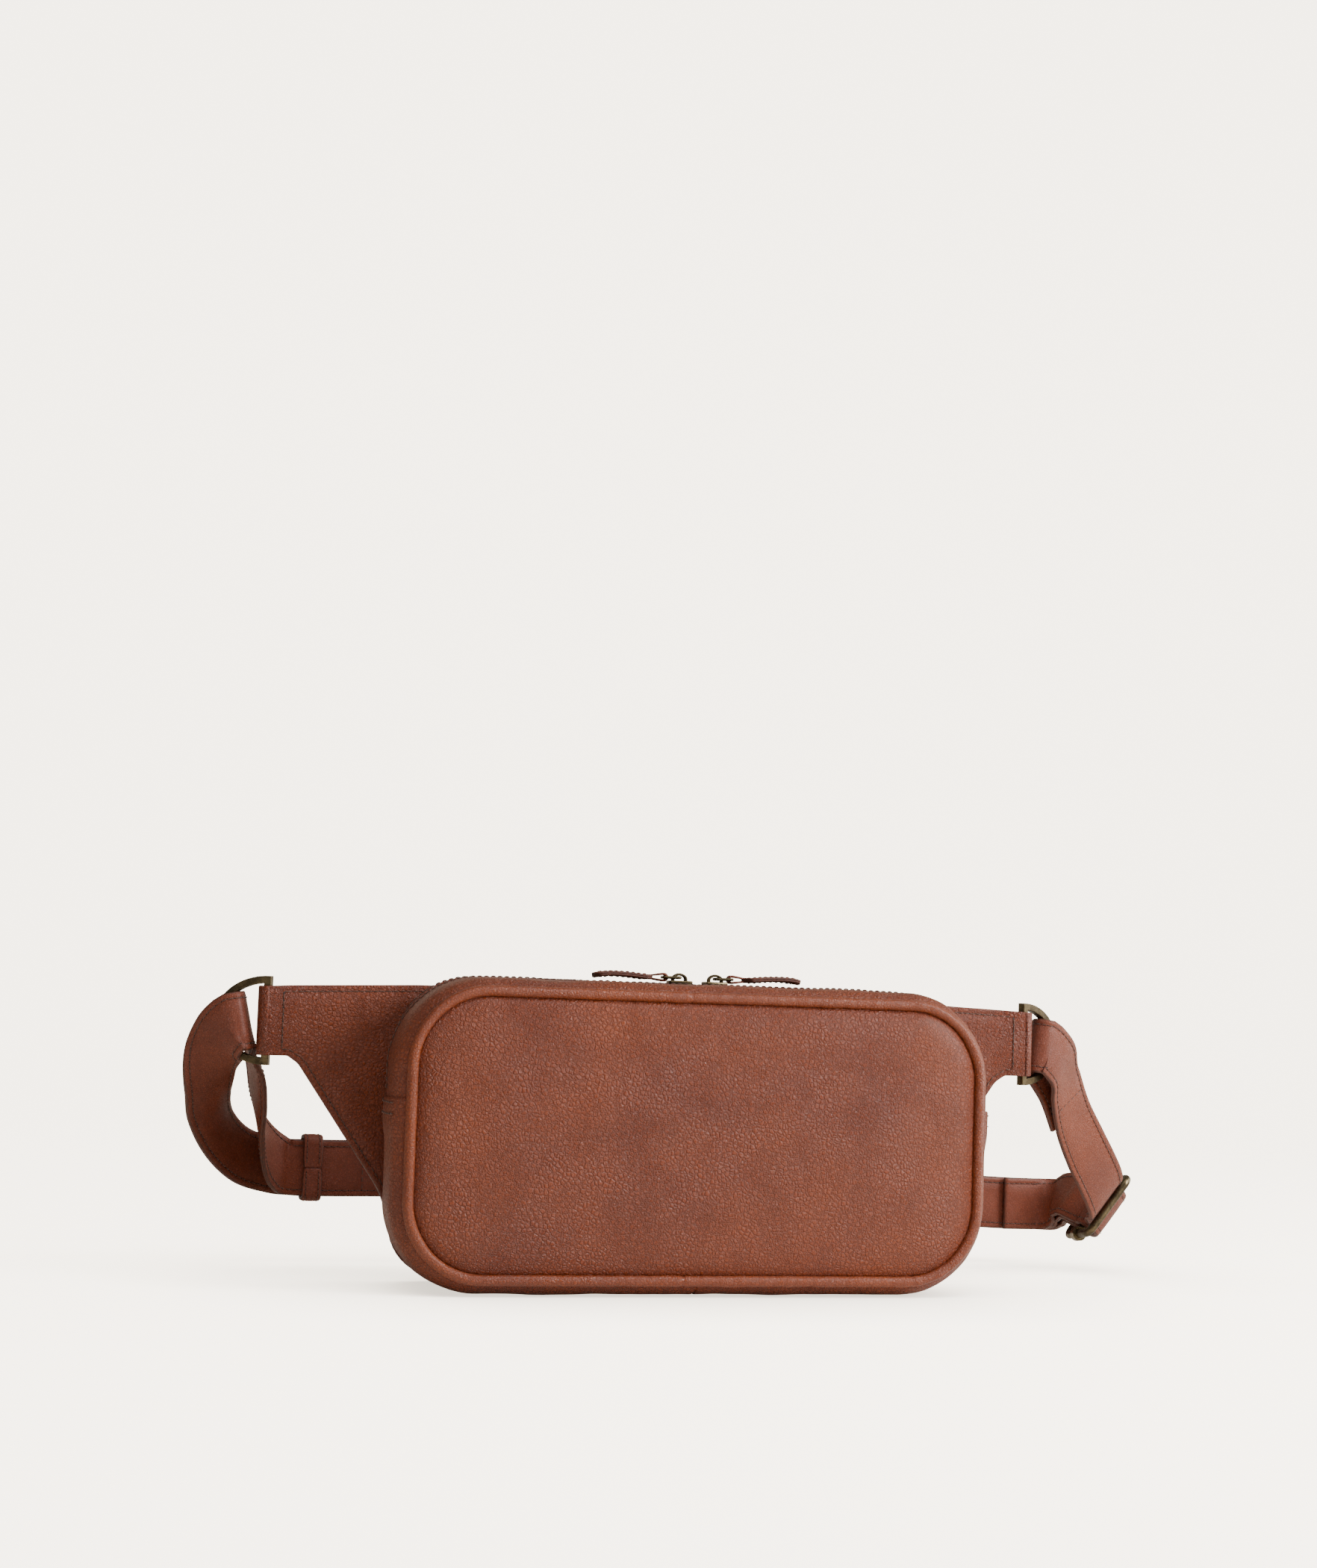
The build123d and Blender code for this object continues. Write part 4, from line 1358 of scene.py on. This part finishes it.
@dataclass
class WaistStrap:
    """Waist strap from the right ring, through the adjuster, behind the pouch and through the left ring."""

    ring_lean: float = 25.8
    bar_x: float = 167.5
    bar_y: float = 31.8
    bar_z: float = 104.0
    bow_reach: float = 20.5
    bow_height: float = 16.5
    bow_angle: float = -10.0
    setback: float = 7.1
    bend: float = 5.0
    pitch: float = 2.9
    ring_pitch: float = 15.0

    def ring_fold(self, side: Side, first: float, last: float, steps: int) -> list[Station]:
        """Stations of the fold round a ring's bow.

        Args:
            side: The ring's side.
            first: First angle, where 0 is the rear and 180 the front.
            last: Last angle.
            steps: Number of steps.

        Returns:
            The stations.
        """
        lean, bow = math.radians(self.ring_lean), math.radians(self.bow_angle)
        outwards = Vector((side.value * math.cos(lean), math.sin(lean), 0))
        backwards = Vector((-side.value * math.sin(lean), math.cos(lean), 0))
        up = Vector((0, 0, 1))
        bar = Vector((side.value * self.bar_x, self.bar_y, self.bar_z))
        contact = bar + outwards * (self.bow_reach * math.cos(bow)) + up * (self.bow_height * math.sin(bow))
        across = (
            outwards * (-self.bow_reach * math.sin(bow)) + up * (self.bow_height * math.cos(bow))
        ).normalized()
        away = (outwards * across.z - up * across.dot(outwards)).normalized()
        centre = contact - away * self.setback
        result = []
        for i in range(steps + 1):
            angle = math.radians(first + (last - first) * i / steps)
            result.append(
                (centre + (backwards * math.cos(angle) - away * math.sin(angle)) * self.bend, across)
            )
        return result

    def path(self) -> list[Station]:
        """Stations of the whole strap, from its sewn end to its tail."""
        right_fold = self.ring_fold(Side.RIGHT, 0, 180, 6)
        leg = right_fold[-1:] + stations(
            (189.5, 36.5, 95.5, 0.45, 0.20, 0.87), (194.0, 42.5, 86.0, 0.52, 0.20, 0.83),
            (201.5, 49.5, 71.5, 0.60, 0.15, 0.78),
            (210.5, 54.5, 58.0, 0.64, 0.05, 0.76), (218.0, 57.5, 47.0, 0.64, 0.02, 0.77),
            (222.8, 60.3, 40.0, 0.63, 0.00, 0.78),
        )
        sewn_end = lifted(leg[1:4], (11.0, 5.5, self.pitch))[::-1]
        centre = Vector((232.0, 84.0, 29.5))
        along = Vector((0.12, 0.985, -0.12)).normalized()
        across = Vector((0.62, 0.0, 0.78))
        across = (across - along * across.dot(along)).normalized()
        inwards = across.cross(along)

        def lane(*rows: tuple[float, float]) -> list[Station]:
            """Stations in the adjuster, from distance along it and to its inner side."""
            return [(centre + along * a + inwards * b, across) for a, b in rows]

        weave = [(10.5, 2.0), (6.5, -3.5), (3.5, -6.0)]
        bar_pass = (self.ring_pitch, 4.8)
        through = lane(
            (-21.0, 5.0), *[(-a, b) for a, b in [bar_pass] + weave], (0.0, -6.6), *weave[::-1], bar_pass
        )
        turn_start = centre + along * 24.0
        turn = []
        for step, width_x in enumerate((0.62, 0.50, 0.35, 0.20, 0.05)):
            angle = step * math.pi / 8
            offset = Vector((18.0 * (math.cos(angle) - 1), 18.0 * math.sin(angle), 0.3 * step))
            turn.append((turn_start + offset, Vector((width_x, 0.05, 0.9)).normalized()))
        run = turn + stations(
            (200.0, 124.5, 28.3, 0, 0, 1), (150.0, 120.6, 31.0, 0, 0, 1), (90.0, 116.0, 34.0, 0, 0, 1),
            (20.0, 110.8, 37.5, 0, 0, 1),
            (-40.0, 106.4, 40.2, 0, 0, 1), (-66.0, 105.0, 41.0, 0, 0, 1), (-104.0, 105.0, 41.0, 0, 0, 1),
            (-142.0, 105.0, 41.0, 0, 0, 1),
        )
        turn_lifts, turn_spread = (4.0, 3.0, 1.6, 0.6, 0.0), (1.5, 1.6, 1.5, 1.3, 1.1)

        def layer(number: int, count: int) -> list[Station]:
            """The first stations of the run, moved in by a number of layers."""
            lifts = [
                a + number * self.pitch * b for a,
                b in zip(turn_lifts + (0.0,) * 8, turn_spread + (1.0,) * 8)
            ]
            return lifted(run[:count], lifts[:count])

        outer, inner = layer(0, len(run)), layer(1, len(run))
        loop_front = stations(
            (-150.0, 104.0, 41.6, 0.0, 0.0, -1.0), (-165.0, 97.5, 46.0, -0.20, -0.20, -0.95),
            (-176.5, 86.0, 55.5, -0.50, -0.45, -0.70),
            (-183.0, 72.0, 67.0, -0.70, -0.68, -0.15), (-185.5, 58.0, 78.0, -0.62, -0.75, 0.22),
            (-186.5, 46.5, 88.0, -0.58, -0.55, 0.55),
            (-186.0, 37.8, 96.5, -0.45, 0.0, 0.88),
        )
        loop_rear = stations(
            (-174.0, 47.0, 98.0, -0.35, 0.30, 0.89), (-168.5, 56.0, 89.0, -0.30, 0.45, 0.84),
            (-165.0, 66.0, 77.0, -0.25, 0.50, 0.80),
            (-162.0, 78.0, 64.0, -0.15, 0.45, 0.85), (-156.5, 89.5, 52.0, -0.05, 0.30, 0.95),
            (-149.0, 98.5, 43.5, 0.0, 0.10, 1.0),
        )
        wrap = lane(
            (self.ring_pitch, 4.8 + self.pitch), (12.0, 7.2), (8.0, 3.2), (4.3, -1.5),
            *[
                (3.4 * math.cos(math.radians(angle)), 3.4 * math.sin(math.radians(angle)))
                for angle in range(-60, -301, -40)
            ],
            (4.5, 5.2), (8.0, 7.9), (12.0, 10.3), (self.ring_pitch, 4.8 + 2 * self.pitch),
        )
        left_fold = self.ring_fold(Side.LEFT, 180, 60, 4)
        return (
            sewn_end + right_fold + leg[1:] + through + outer + loop_front + left_fold + loop_rear
            + inner[::-1] + wrap + layer(2, 6)
        )

    def build(self, palette: Palette) -> None:
        """Build the strap, its edge stitching and its cross rows."""
        ribbon = Ribbon()
        track = ribbon.smooth(self.path())
        strap = ribbon.build("strap", track, palette)
        parts = (
            "sewn_end", "right_leg", "adjuster_pass", "outer_turn", "outer_run", "loop_front", "loop_rear",
            "inner_run", "inner_turn", "bar_fold", "tail",
        )
        settle(strap, ROOT, "strap_leather", *[f"strap_{part}" for part in parts])
        stitching = Stitching(thread=0.46, hole=0.36)
        ribbon.rows(stitching, track)
        for target in (
            (197.0, 45.0, 80.0), (186.0, 121.0, 29.0), (176.0, 120.4, 29.6), (-112.0, 102.1, 41.0)
        ):
            place = Vector(target)
            near = [i for i in range(len(track)) if (track[i][0] - place).length < 14.0]
            near.sort(key=lambda i: (track[i][0] - place).length)
            ribbon.cross_row(stitching, track[near[0]])
        stitching.build("strap_stitching", palette, ROOT, "strap_leather")


@dataclass
class Keeper:
    """Leather loop that holds the two layers of the strap together."""

    x: float = -134.0
    y: float = 103.55
    z: float = 41.0
    length: float = 8.4
    room_y: float = 5.9
    room_z: float = 24.6
    leather: float = 1.9

    def build(self, palette: Palette) -> None:
        """Build the loop with its two stitched edges and the notch where its ends meet."""
        loop = RoundedLoop(self.room_z + self.leather, self.room_y + self.leather, 2.6, 0.0)
        ribbon = Ribbon(width=self.length, thickness=self.leather, step=0.8, edge=0.4, row_inset=1.5)
        total = sum(loop.spans())
        start = (
            loop.spans()[0] + loop.spans()[1] + loop.spans()[2] * 1.5 + loop.spans()[3] + loop.spans()[4]
            + loop.spans()[5]
        )
        count = int(total / 0.8)
        track = []
        for i in range(count + 1):
            point, out = loop.at(start + 0.15 + (total - 0.3) * i / count, loop)
            spot = Vector((self.x, self.y + point.z, self.z + point.x))
            track.append((spot, Vector((1, 0, 0)), Vector((0, out.z, out.x))))
        notch = [self.length - 1.6 * math.exp(-min(i, count - i) / 1.5) for i in range(count + 1)]
        keeper = ribbon.build("keeper_loop", track, palette, notch)
        settle(keeper, "keeper", "strap_leather", "strap_keeper")
        stitching = Stitching(pitch=2.4, thread=0.42, hole=0.32)
        offset = self.length / 2 - 1.5
        for way in (-1, 1):
            stitching.row(
                [(p + a * (way * offset) + f * (self.leather / 2 - 0.05), f) for p, a, f in track[2:-2]]
            )
        stitching.build("keeper_stitching", palette, "keeper", "strap_leather")


# Zip -------------------------------------------------------------------------------------------


def finished(name: str) -> bpy.types.Object:
    """Put the active object's place and turn into its mesh, name it and return it."""
    piece = bpy.context.view_layer.objects.active
    bpy.ops.object.select_all(action="DESELECT")
    piece.select_set(True)
    bpy.ops.object.transform_apply(location=True, rotation=True, scale=True)
    piece.name = name
    piece.data.name = name
    return piece


def new_block(name: str, size: Sequence[float], place: Sequence[float]) -> bpy.types.Object:
    """Add a block at its size and place, both applied.

    Args:
        name: Name of the block.
        size: Width, depth and height in metres.
        place: Centre in metres.

    Returns:
        The block.
    """
    bpy.ops.object.select_all(action="DESELECT")
    bpy.ops.mesh.primitive_cube_add(size=1.0)
    block = bpy.context.view_layer.objects.active
    block.scale = size
    block.location = place
    return finished(name)


def add_modifier(piece: bpy.types.Object, kind: str, **settings: object) -> None:
    """Add a modifier to a piece with its settings and apply it."""
    modifier = piece.modifiers.new(kind.lower(), kind)
    for key, value in settings.items():
        setattr(modifier, key, value)
    bpy.ops.object.select_all(action="DESELECT")
    bpy.context.view_layer.objects.active = piece
    piece.select_set(True)
    bpy.ops.object.modifier_apply(modifier=modifier.name)


def joined(name: str, parts: Sequence[bpy.types.Object]) -> bpy.types.Object:
    """Join parts into one object."""
    bpy.ops.object.select_all(action="DESELECT")
    for part in parts:
        part.select_set(True)
    bpy.context.view_layer.objects.active = parts[0]
    bpy.ops.object.join()
    parts[0].name = name
    parts[0].data.name = name
    return parts[0]


@dataclass
class Zip:
    """Two-way zip: tapes, teeth, sliders, links and leather pulls."""

    tooth_pitch: float = 2.2
    tooth_size: tuple[float, float, float] = (1.25, 2.7, 2.3)
    tooth_taper: float = 0.12
    row_offset: float = 1.55
    row_inset: float = 2.2
    meeting_x: float = 4.8
    spacing: float = 15.6
    hole_z: float = 127.0
    plate_z: float = 125.0
    lower_plate_z: float = 119.9
    slider_length: float = 9.5
    slider_width: float = 8.4
    flange: float = 0.8
    bridge_radius: float = 2.35
    bridge_wire: float = 0.62
    link: float = 7.0
    pull_length: float = 30.0
    pull_width: float = 10.0
    pull_thickness: float = 2.0
    pull_row: float = 3.3
    neck_radius: float = 1.85
    neck_bore: float = 0.9
    neck_reach: float = 5.6

    def build_chain(self, pouch: Pouch, palette: Palette) -> None:
        """Build the tapes and the interlocked teeth."""
        distances = pouch.distances(pouch.at_right(72.0), pouch.at_left(72.0))
        for name, sign in (("front", -1), ("rear", 1)):
            section = [
                (sign * y, inset) for y,
                inset in (
                    (2.0, 1.9), (2.6, 1.75), (7.0, 1.85), (11.8, 1.85), (11.8, 2.55), (2.6, 2.6), (2.0, 2.4)
                )
            ]
            points, faces = pouch.strip(section, distances, lambda d: 0.0)
            settle(
                new_piece(f"tape_{name}", points, faces, [palette["zipper_tape"]]), ROOT, "zipper_tape",
                f"zipper_tape_{name}",
            )
            settle(self.teeth(pouch, name, sign, palette), ROOT, "zipper_brass", f"zipper_teeth_{name}")

    def teeth(self, pouch: Pouch, name: str, sign: int, palette: Palette) -> bpy.types.Object:
        """Copy one tooth along the chain.

        Args:
            pouch: The pouch that the chain lies on.
            name: Row of teeth.
            sign: Side of the chain's middle.
            palette: The finishes.

        Returns:
            The row of teeth.
        """
        tooth = new_block("tooth", self.tooth_size, (0, 0, 0))
        add_modifier(tooth, "BEVEL", width=0.3, segments=1)
        corners = [vert.co.copy() for vert in tooth.data.vertices]
        shapes = [tuple(polygon.vertices) for polygon in tooth.data.polygons]
        bpy.data.objects.remove(tooth)
        start, end = pouch.at_right(77.5), pouch.at_left(77.5)
        points: list[Vector] = []
        faces: list[tuple[int, ...]] = []
        for i in range(int((end - start) / self.tooth_pitch)):
            distance = start + (i + (0.5 if sign > 0 else 0.0)) * self.tooth_pitch
            spot, out = pouch.wall(distance, sign * self.row_offset, self.row_inset)
            ahead = pouch.wall(distance + 1.0, sign * self.row_offset, self.row_inset)[0]
            along = (ahead - spot).normalized()
            base = len(points)
            for corner in corners:
                narrow = 1.0 - self.tooth_taper * (corner.y * sign < 0)
                points.append(
                    spot + along * (corner.x * narrow) + Vector((0, 1, 0)) * corner.y + out * corner.z
                )
            faces += [tuple(base + v for v in shape) for shape in shapes]
        return new_piece(f"teeth_{name}", points, faces, [palette["zipper_brass"]])

    def narrow(self, piece: bpy.types.Object, middle: float, side: Side, share: float) -> None:
        """Narrow the end of a slider's piece that points away from the other slider.

        Args:
            piece: The plate or flange.
            middle: Place of the slider along the chain.
            side: Which slider it is.
            share: Width left at that end, as a share of the full width.
        """
        for vert in piece.data.vertices:
            if (vert.co.x - middle * MM) * side.value > 0:
                vert.co.y *= share

    def build_slider(self, side: Side, palette: Palette) -> None:
        """Build a slider: two plates with turned-in flanges, a post and a domed bridge for the link."""
        x = self.meeting_x + side.value * self.spacing / 2
        width = self.slider_width
        parts = []
        for z, rise in ((self.plate_z + 0.05, 1.5), (self.lower_plate_z + 0.7, 1.4)):
            size = (self.slider_length * MM, width * MM, rise * MM)
            plate = new_block("plate", size, (x * MM, 0, z * MM))
            self.narrow(plate, x, side, 0.74)
            add_modifier(plate, "BEVEL", width=0.55 * MM, segments=3)
            parts.append(plate)
        for way in (-1, 1):
            size = (self.slider_length * 0.92 * MM, self.flange * MM, 1.5 * MM)
            place = (x * MM, way * (width / 2 - 0.5) * MM, (self.plate_z - 0.9) * MM)
            flange = new_block("flange", size, place)
            self.narrow(flange, x, side, 0.76)
            add_modifier(flange, "BEVEL", width=0.3 * MM, segments=2)
            parts.append(flange)
        bpy.ops.object.select_all(action="DESELECT")
        bpy.ops.mesh.primitive_torus_add(
            major_radius=self.bridge_radius * MM, minor_radius=self.bridge_wire * MM,
            major_segments=32, minor_segments=10,
        )
        bridge = bpy.context.view_layer.objects.active
        bridge.rotation_euler = (math.pi / 2, 0, 0)
        bridge.scale = (1.2, 0.9, 2.2)
        bridge.location = (x * MM, 0, (self.hole_z - 0.75) * MM)
        bridge = finished("bridge")
        for vert in bridge.data.vertices:
            vert.co.z = max(vert.co.z, self.plate_z * MM)
        parts.append(bridge)
        post_x = x - side.value * (self.slider_length / 2 - 1.5)
        parts.append(new_block("post", (3.0 * MM, 1.2 * MM, 5.4 * MM), (post_x * MM, 0, 122.9 * MM)))
        slider = joined(f"slider_body_{side.word}", parts)
        slider.data.materials.clear()
        slider.data.materials.append(palette["antique_brass"])
        bpy.ops.object.shade_smooth_by_angle(angle=math.radians(45))
        settle(slider, f"slider_{side.word}", "antique_brass", f"zipper_slider_{side.word}")

    def build_pull(self, side: Side, palette: Palette) -> None:
        """Build a leather pull: a neck round the link, then a stitched tongue that curls a little."""
        pivot = self.meeting_x + side.value * (self.spacing / 2 + self.link)
        sign = side.value
        ribbon = Ribbon(
            width=self.pull_width, thickness=self.pull_thickness, step=0.7, edge=0.4, row_inset=1.7
        )
        curl = ((5.0, -0.05), (9.0, 0.0), (15.0, 0.55), (22.0, 0.75), (27.0, 0.35), (30.0, -0.25))
        path = [(Vector((pivot + sign * d, 0, self.hole_z + h)), Vector((0, 1, 0))) for d, h in curl]
        track = ribbon.smooth(path)
        widths = []
        for point, _, _ in track:
            along = abs(point.x - pivot)
            start, end = along - 5.0, self.pull_length - along
            nose = math.sqrt(max(1.0 - (1.0 - min(max(end, 0.0) / 3.0, 1.0)) ** 2, 0.0))
            neck = ease(start / 3.0)
            widths.append(min(3.2 + 6.8 * neck, 4.0 + 6.0 * nose))
        tongue = ribbon.build("tongue", track, palette, widths)
        rings = []
        for y in (-1.5, 1.5):
            ring = []
            for radius, angles in (
                (self.neck_radius, range(55, 306, 25)), (self.neck_bore, range(305, 54, -25))
            ):
                for angle in (math.radians(degrees) for degrees in angles):
                    x = pivot + sign * (radius * math.cos(angle))
                    ring.append(Vector((x, y, self.hole_z + radius * math.sin(angle))))
            rings.append(ring)
        for y_ring in rings:
            for i in (0, 10):
                y_ring[i].x = pivot + sign * self.neck_reach
                y_ring[i].z = self.hole_z + (0.9 if i == 0 else -1.0)
            for i in (11, 21):
                y_ring[i].x = pivot + sign * self.neck_reach
                y_ring[i].z = self.hole_z + (-0.3 if i == 11 else 0.3)
        points, faces = skin(rings, closed_path=False)
        neck_piece = new_piece("neck", points, faces, [palette["strap_leather"], palette["edge_paint"]])
        pull = joined(f"pull_tongue_{side.word}", [tongue, neck_piece])
        settle(pull, f"pull_{side.word}", "strap_leather", f"leather_pull_{side.word}")
        stitching = Stitching(pitch=2.3, thread=0.4, hole=0.3)
        inside = [entry for entry in track if 7.5 < abs(entry[0].x - pivot) < 27.2]
        for face in (-1, 1):
            for way in (-1, 1):
                stitching.row(
                    [(p + a * (way * self.pull_row) + f * (face * 0.95), f * face) for p, a, f in inside]
                )
            point, across, facing = inside[-1] if abs(inside[-1][0].x) > abs(inside[0][0].x) else inside[0]
            stitching.row(
                [
                    (point + across * y + facing * (face * 0.97), facing * face)
                    for y in (-self.pull_row, 0.0, self.pull_row)
                ]
            )
        stitching.build(f"pull_stitching_{side.word}", palette, f"pull_{side.word}", "strap_leather")

    def build(self, pouch: Pouch, palette: Palette) -> None:
        """Build the zip's tapes, teeth, sliders and pulls."""
        self.build_chain(pouch, palette)
        for side in Side:
            self.build_slider(side, palette)
            self.build_pull(side, palette)


# Kept nodes, studio and start --------------------------------------------------------------------


def dress_kept_nodes(palette: Palette) -> None:
    """Give every node that stays its finish."""
    finishes = {
        "d_ring": "antique_brass", "puller_link": "antique_brass", "zipper_stop": "zipper_brass",
        "adjuster": "antique_brass",
        "lining": "lining_cloth", "slip_pocket": "lining_cloth",
    }
    for name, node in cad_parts.items():
        for start, finish in finishes.items():
            if name.startswith(start):
                node.data.materials.clear()
                node.data.materials.append(palette[finish])
                log.info("%s: %s", name, finish)


@dataclass
class Studio:
    """Pale seamless backdrop, soft lights and the camera."""

    azimuth: float = -18.0
    distance: float = 1.118
    height: float = 0.110
    lens: float = 62.0
    tilt: float = 4.96
    yaw: float = 0.72
    roll: float = 1.9
    light_target: float = 0.06
    world_light: float = 0.22
    world_seen: float = 6.0
    floor_front: float = -2600.0
    floor_back: float = 1500.0
    curve: float = 900.0
    spread: float = 4200.0

    def build_backdrop(self) -> None:
        """Build the floor and its curve up to a wall, square to the camera."""
        # The backdrop glows brighter to the camera, and its glow is darkened under the pack as a painted
        # contact shadow.
        finish = Plain("backdrop", srgb(246, 235, 218), srgb(241, 237, 230), 40.0, 0.01, glow=5.6)
        turn = Matrix.Rotation(math.radians(self.azimuth), 3, "Z")
        profile = [(self.floor_front, 0.0), (self.floor_back, 0.0)]
        for angle in (math.radians(degrees) for degrees in range(10, 91, 10)):
            rise = self.curve * (1 - math.cos(angle))
            profile.append((self.floor_back + self.curve * math.sin(angle), rise))
        profile.append((self.floor_back + self.curve, self.spread))
        points = []
        for y, z in profile:
            for x in (-self.spread, self.spread):
                points.append(turn @ Vector((x, y, z - 0.3)))
        faces = [(2 * i, 2 * i + 1, 2 * i + 3, 2 * i + 2) for i in range(len(profile) - 1)]
        floor = new_piece("backdrop", points, faces, [finish.build({})], turn_out=False)

    def add_light(
        self, name: str, azimuth: float, elevation: float, distance: float, size: tuple[float, float],
        power: float,
    ) -> None:
        """Add a soft rectangular light that faces the pack.

        Args:
            name: Name of the light.
            azimuth: Direction of the light round the pack, with 0 at the front.
            elevation: Height of the light above the level, in degrees.
            distance: Distance from the pack in metres.
            size: Width and height in metres.
            power: Power in watts.
        """
        light = bpy.data.lights.new(name, "AREA")
        light.shape = "RECTANGLE"
        light.size, light.size_y = size
        light.energy = power
        holder = bpy.data.objects.new(name, light)
        a, e = math.radians(azimuth), math.radians(elevation)
        target = Vector((0, 0, self.light_target))
        way = Vector((math.sin(a) * math.cos(e), -math.cos(a) * math.cos(e), math.sin(e)))
        holder.location = way * distance + target
        holder.rotation_euler = (target - holder.location).to_track_quat("-Z", "Y").to_euler()
        bpy.context.scene.collection.objects.link(holder)

    def build_lights(self) -> None:
        """Add the lights, and surroundings that look brighter than the light that they give."""
        world = bpy.data.worlds.new("surroundings")
        world.use_nodes = True
        back = world.node_tree.nodes["Background"]
        back.inputs["Color"].default_value = (*srgb(250, 246, 238), 1.0)
        graph = Graph(world.node_tree)
        seen = graph.add("ShaderNodeLightPath").outputs["Is Camera Ray"]
        graph.tree.links.new(
            graph.fit(seen, 0.0, 1.0, self.world_light, self.world_seen), back.inputs["Strength"]
        )
        bpy.context.scene.world = world
        self.add_light("key", 52.0, 26.0, 1.3, (0.5, 0.7), 21.0)
        self.add_light("side", 96.0, 14.0, 1.5, (0.5, 0.9), 8.0)
        self.add_light("top", 8.0, 64.0, 1.5, (1.3, 0.5), 11.0)

    def build_camera(self) -> None:
        """Add the camera."""
        camera = bpy.data.objects.new("camera", bpy.data.cameras.new("camera"))
        camera.data.lens = self.lens
        camera.data.sensor_width = 36.0
        camera.data.clip_end = 20.0
        a = math.radians(self.azimuth)
        camera.location = (math.sin(a) * self.distance, -math.cos(a) * self.distance, self.height)
        aim = Matrix.Rotation(math.radians(self.azimuth + self.yaw), 3, "Z") @ Vector((0, 1, 0))
        aim = (aim + Vector((0, 0, math.tan(math.radians(self.tilt))))).normalized()
        camera.rotation_mode = "QUATERNION"
        camera.rotation_quaternion = aim.to_track_quat("-Z", "Y") @ Quaternion(
            (0, 0, 1), math.radians(self.roll)
        )
        bpy.context.scene.collection.objects.link(camera)
        bpy.context.scene.camera = camera

    def build(self) -> None:
        """Build the studio."""
        self.build_backdrop()
        self.build_lights()
        self.build_camera()


def main() -> None:
    """Build the pack around its frame."""
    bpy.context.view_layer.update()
    palette = Palette()
    pouch = Pouch()
    Studio().build()
    pouch.build(palette)
    FrontPanel().build(palette)
    BackPanel().build(palette)
    WaistStrap().build(palette)
    Keeper().build(palette)
    Zip().build(pouch, palette)
    dress_kept_nodes(palette)


if __name__ == "__main__":
    logging.basicConfig(level=logging.INFO, format="%(message)s")
    main()
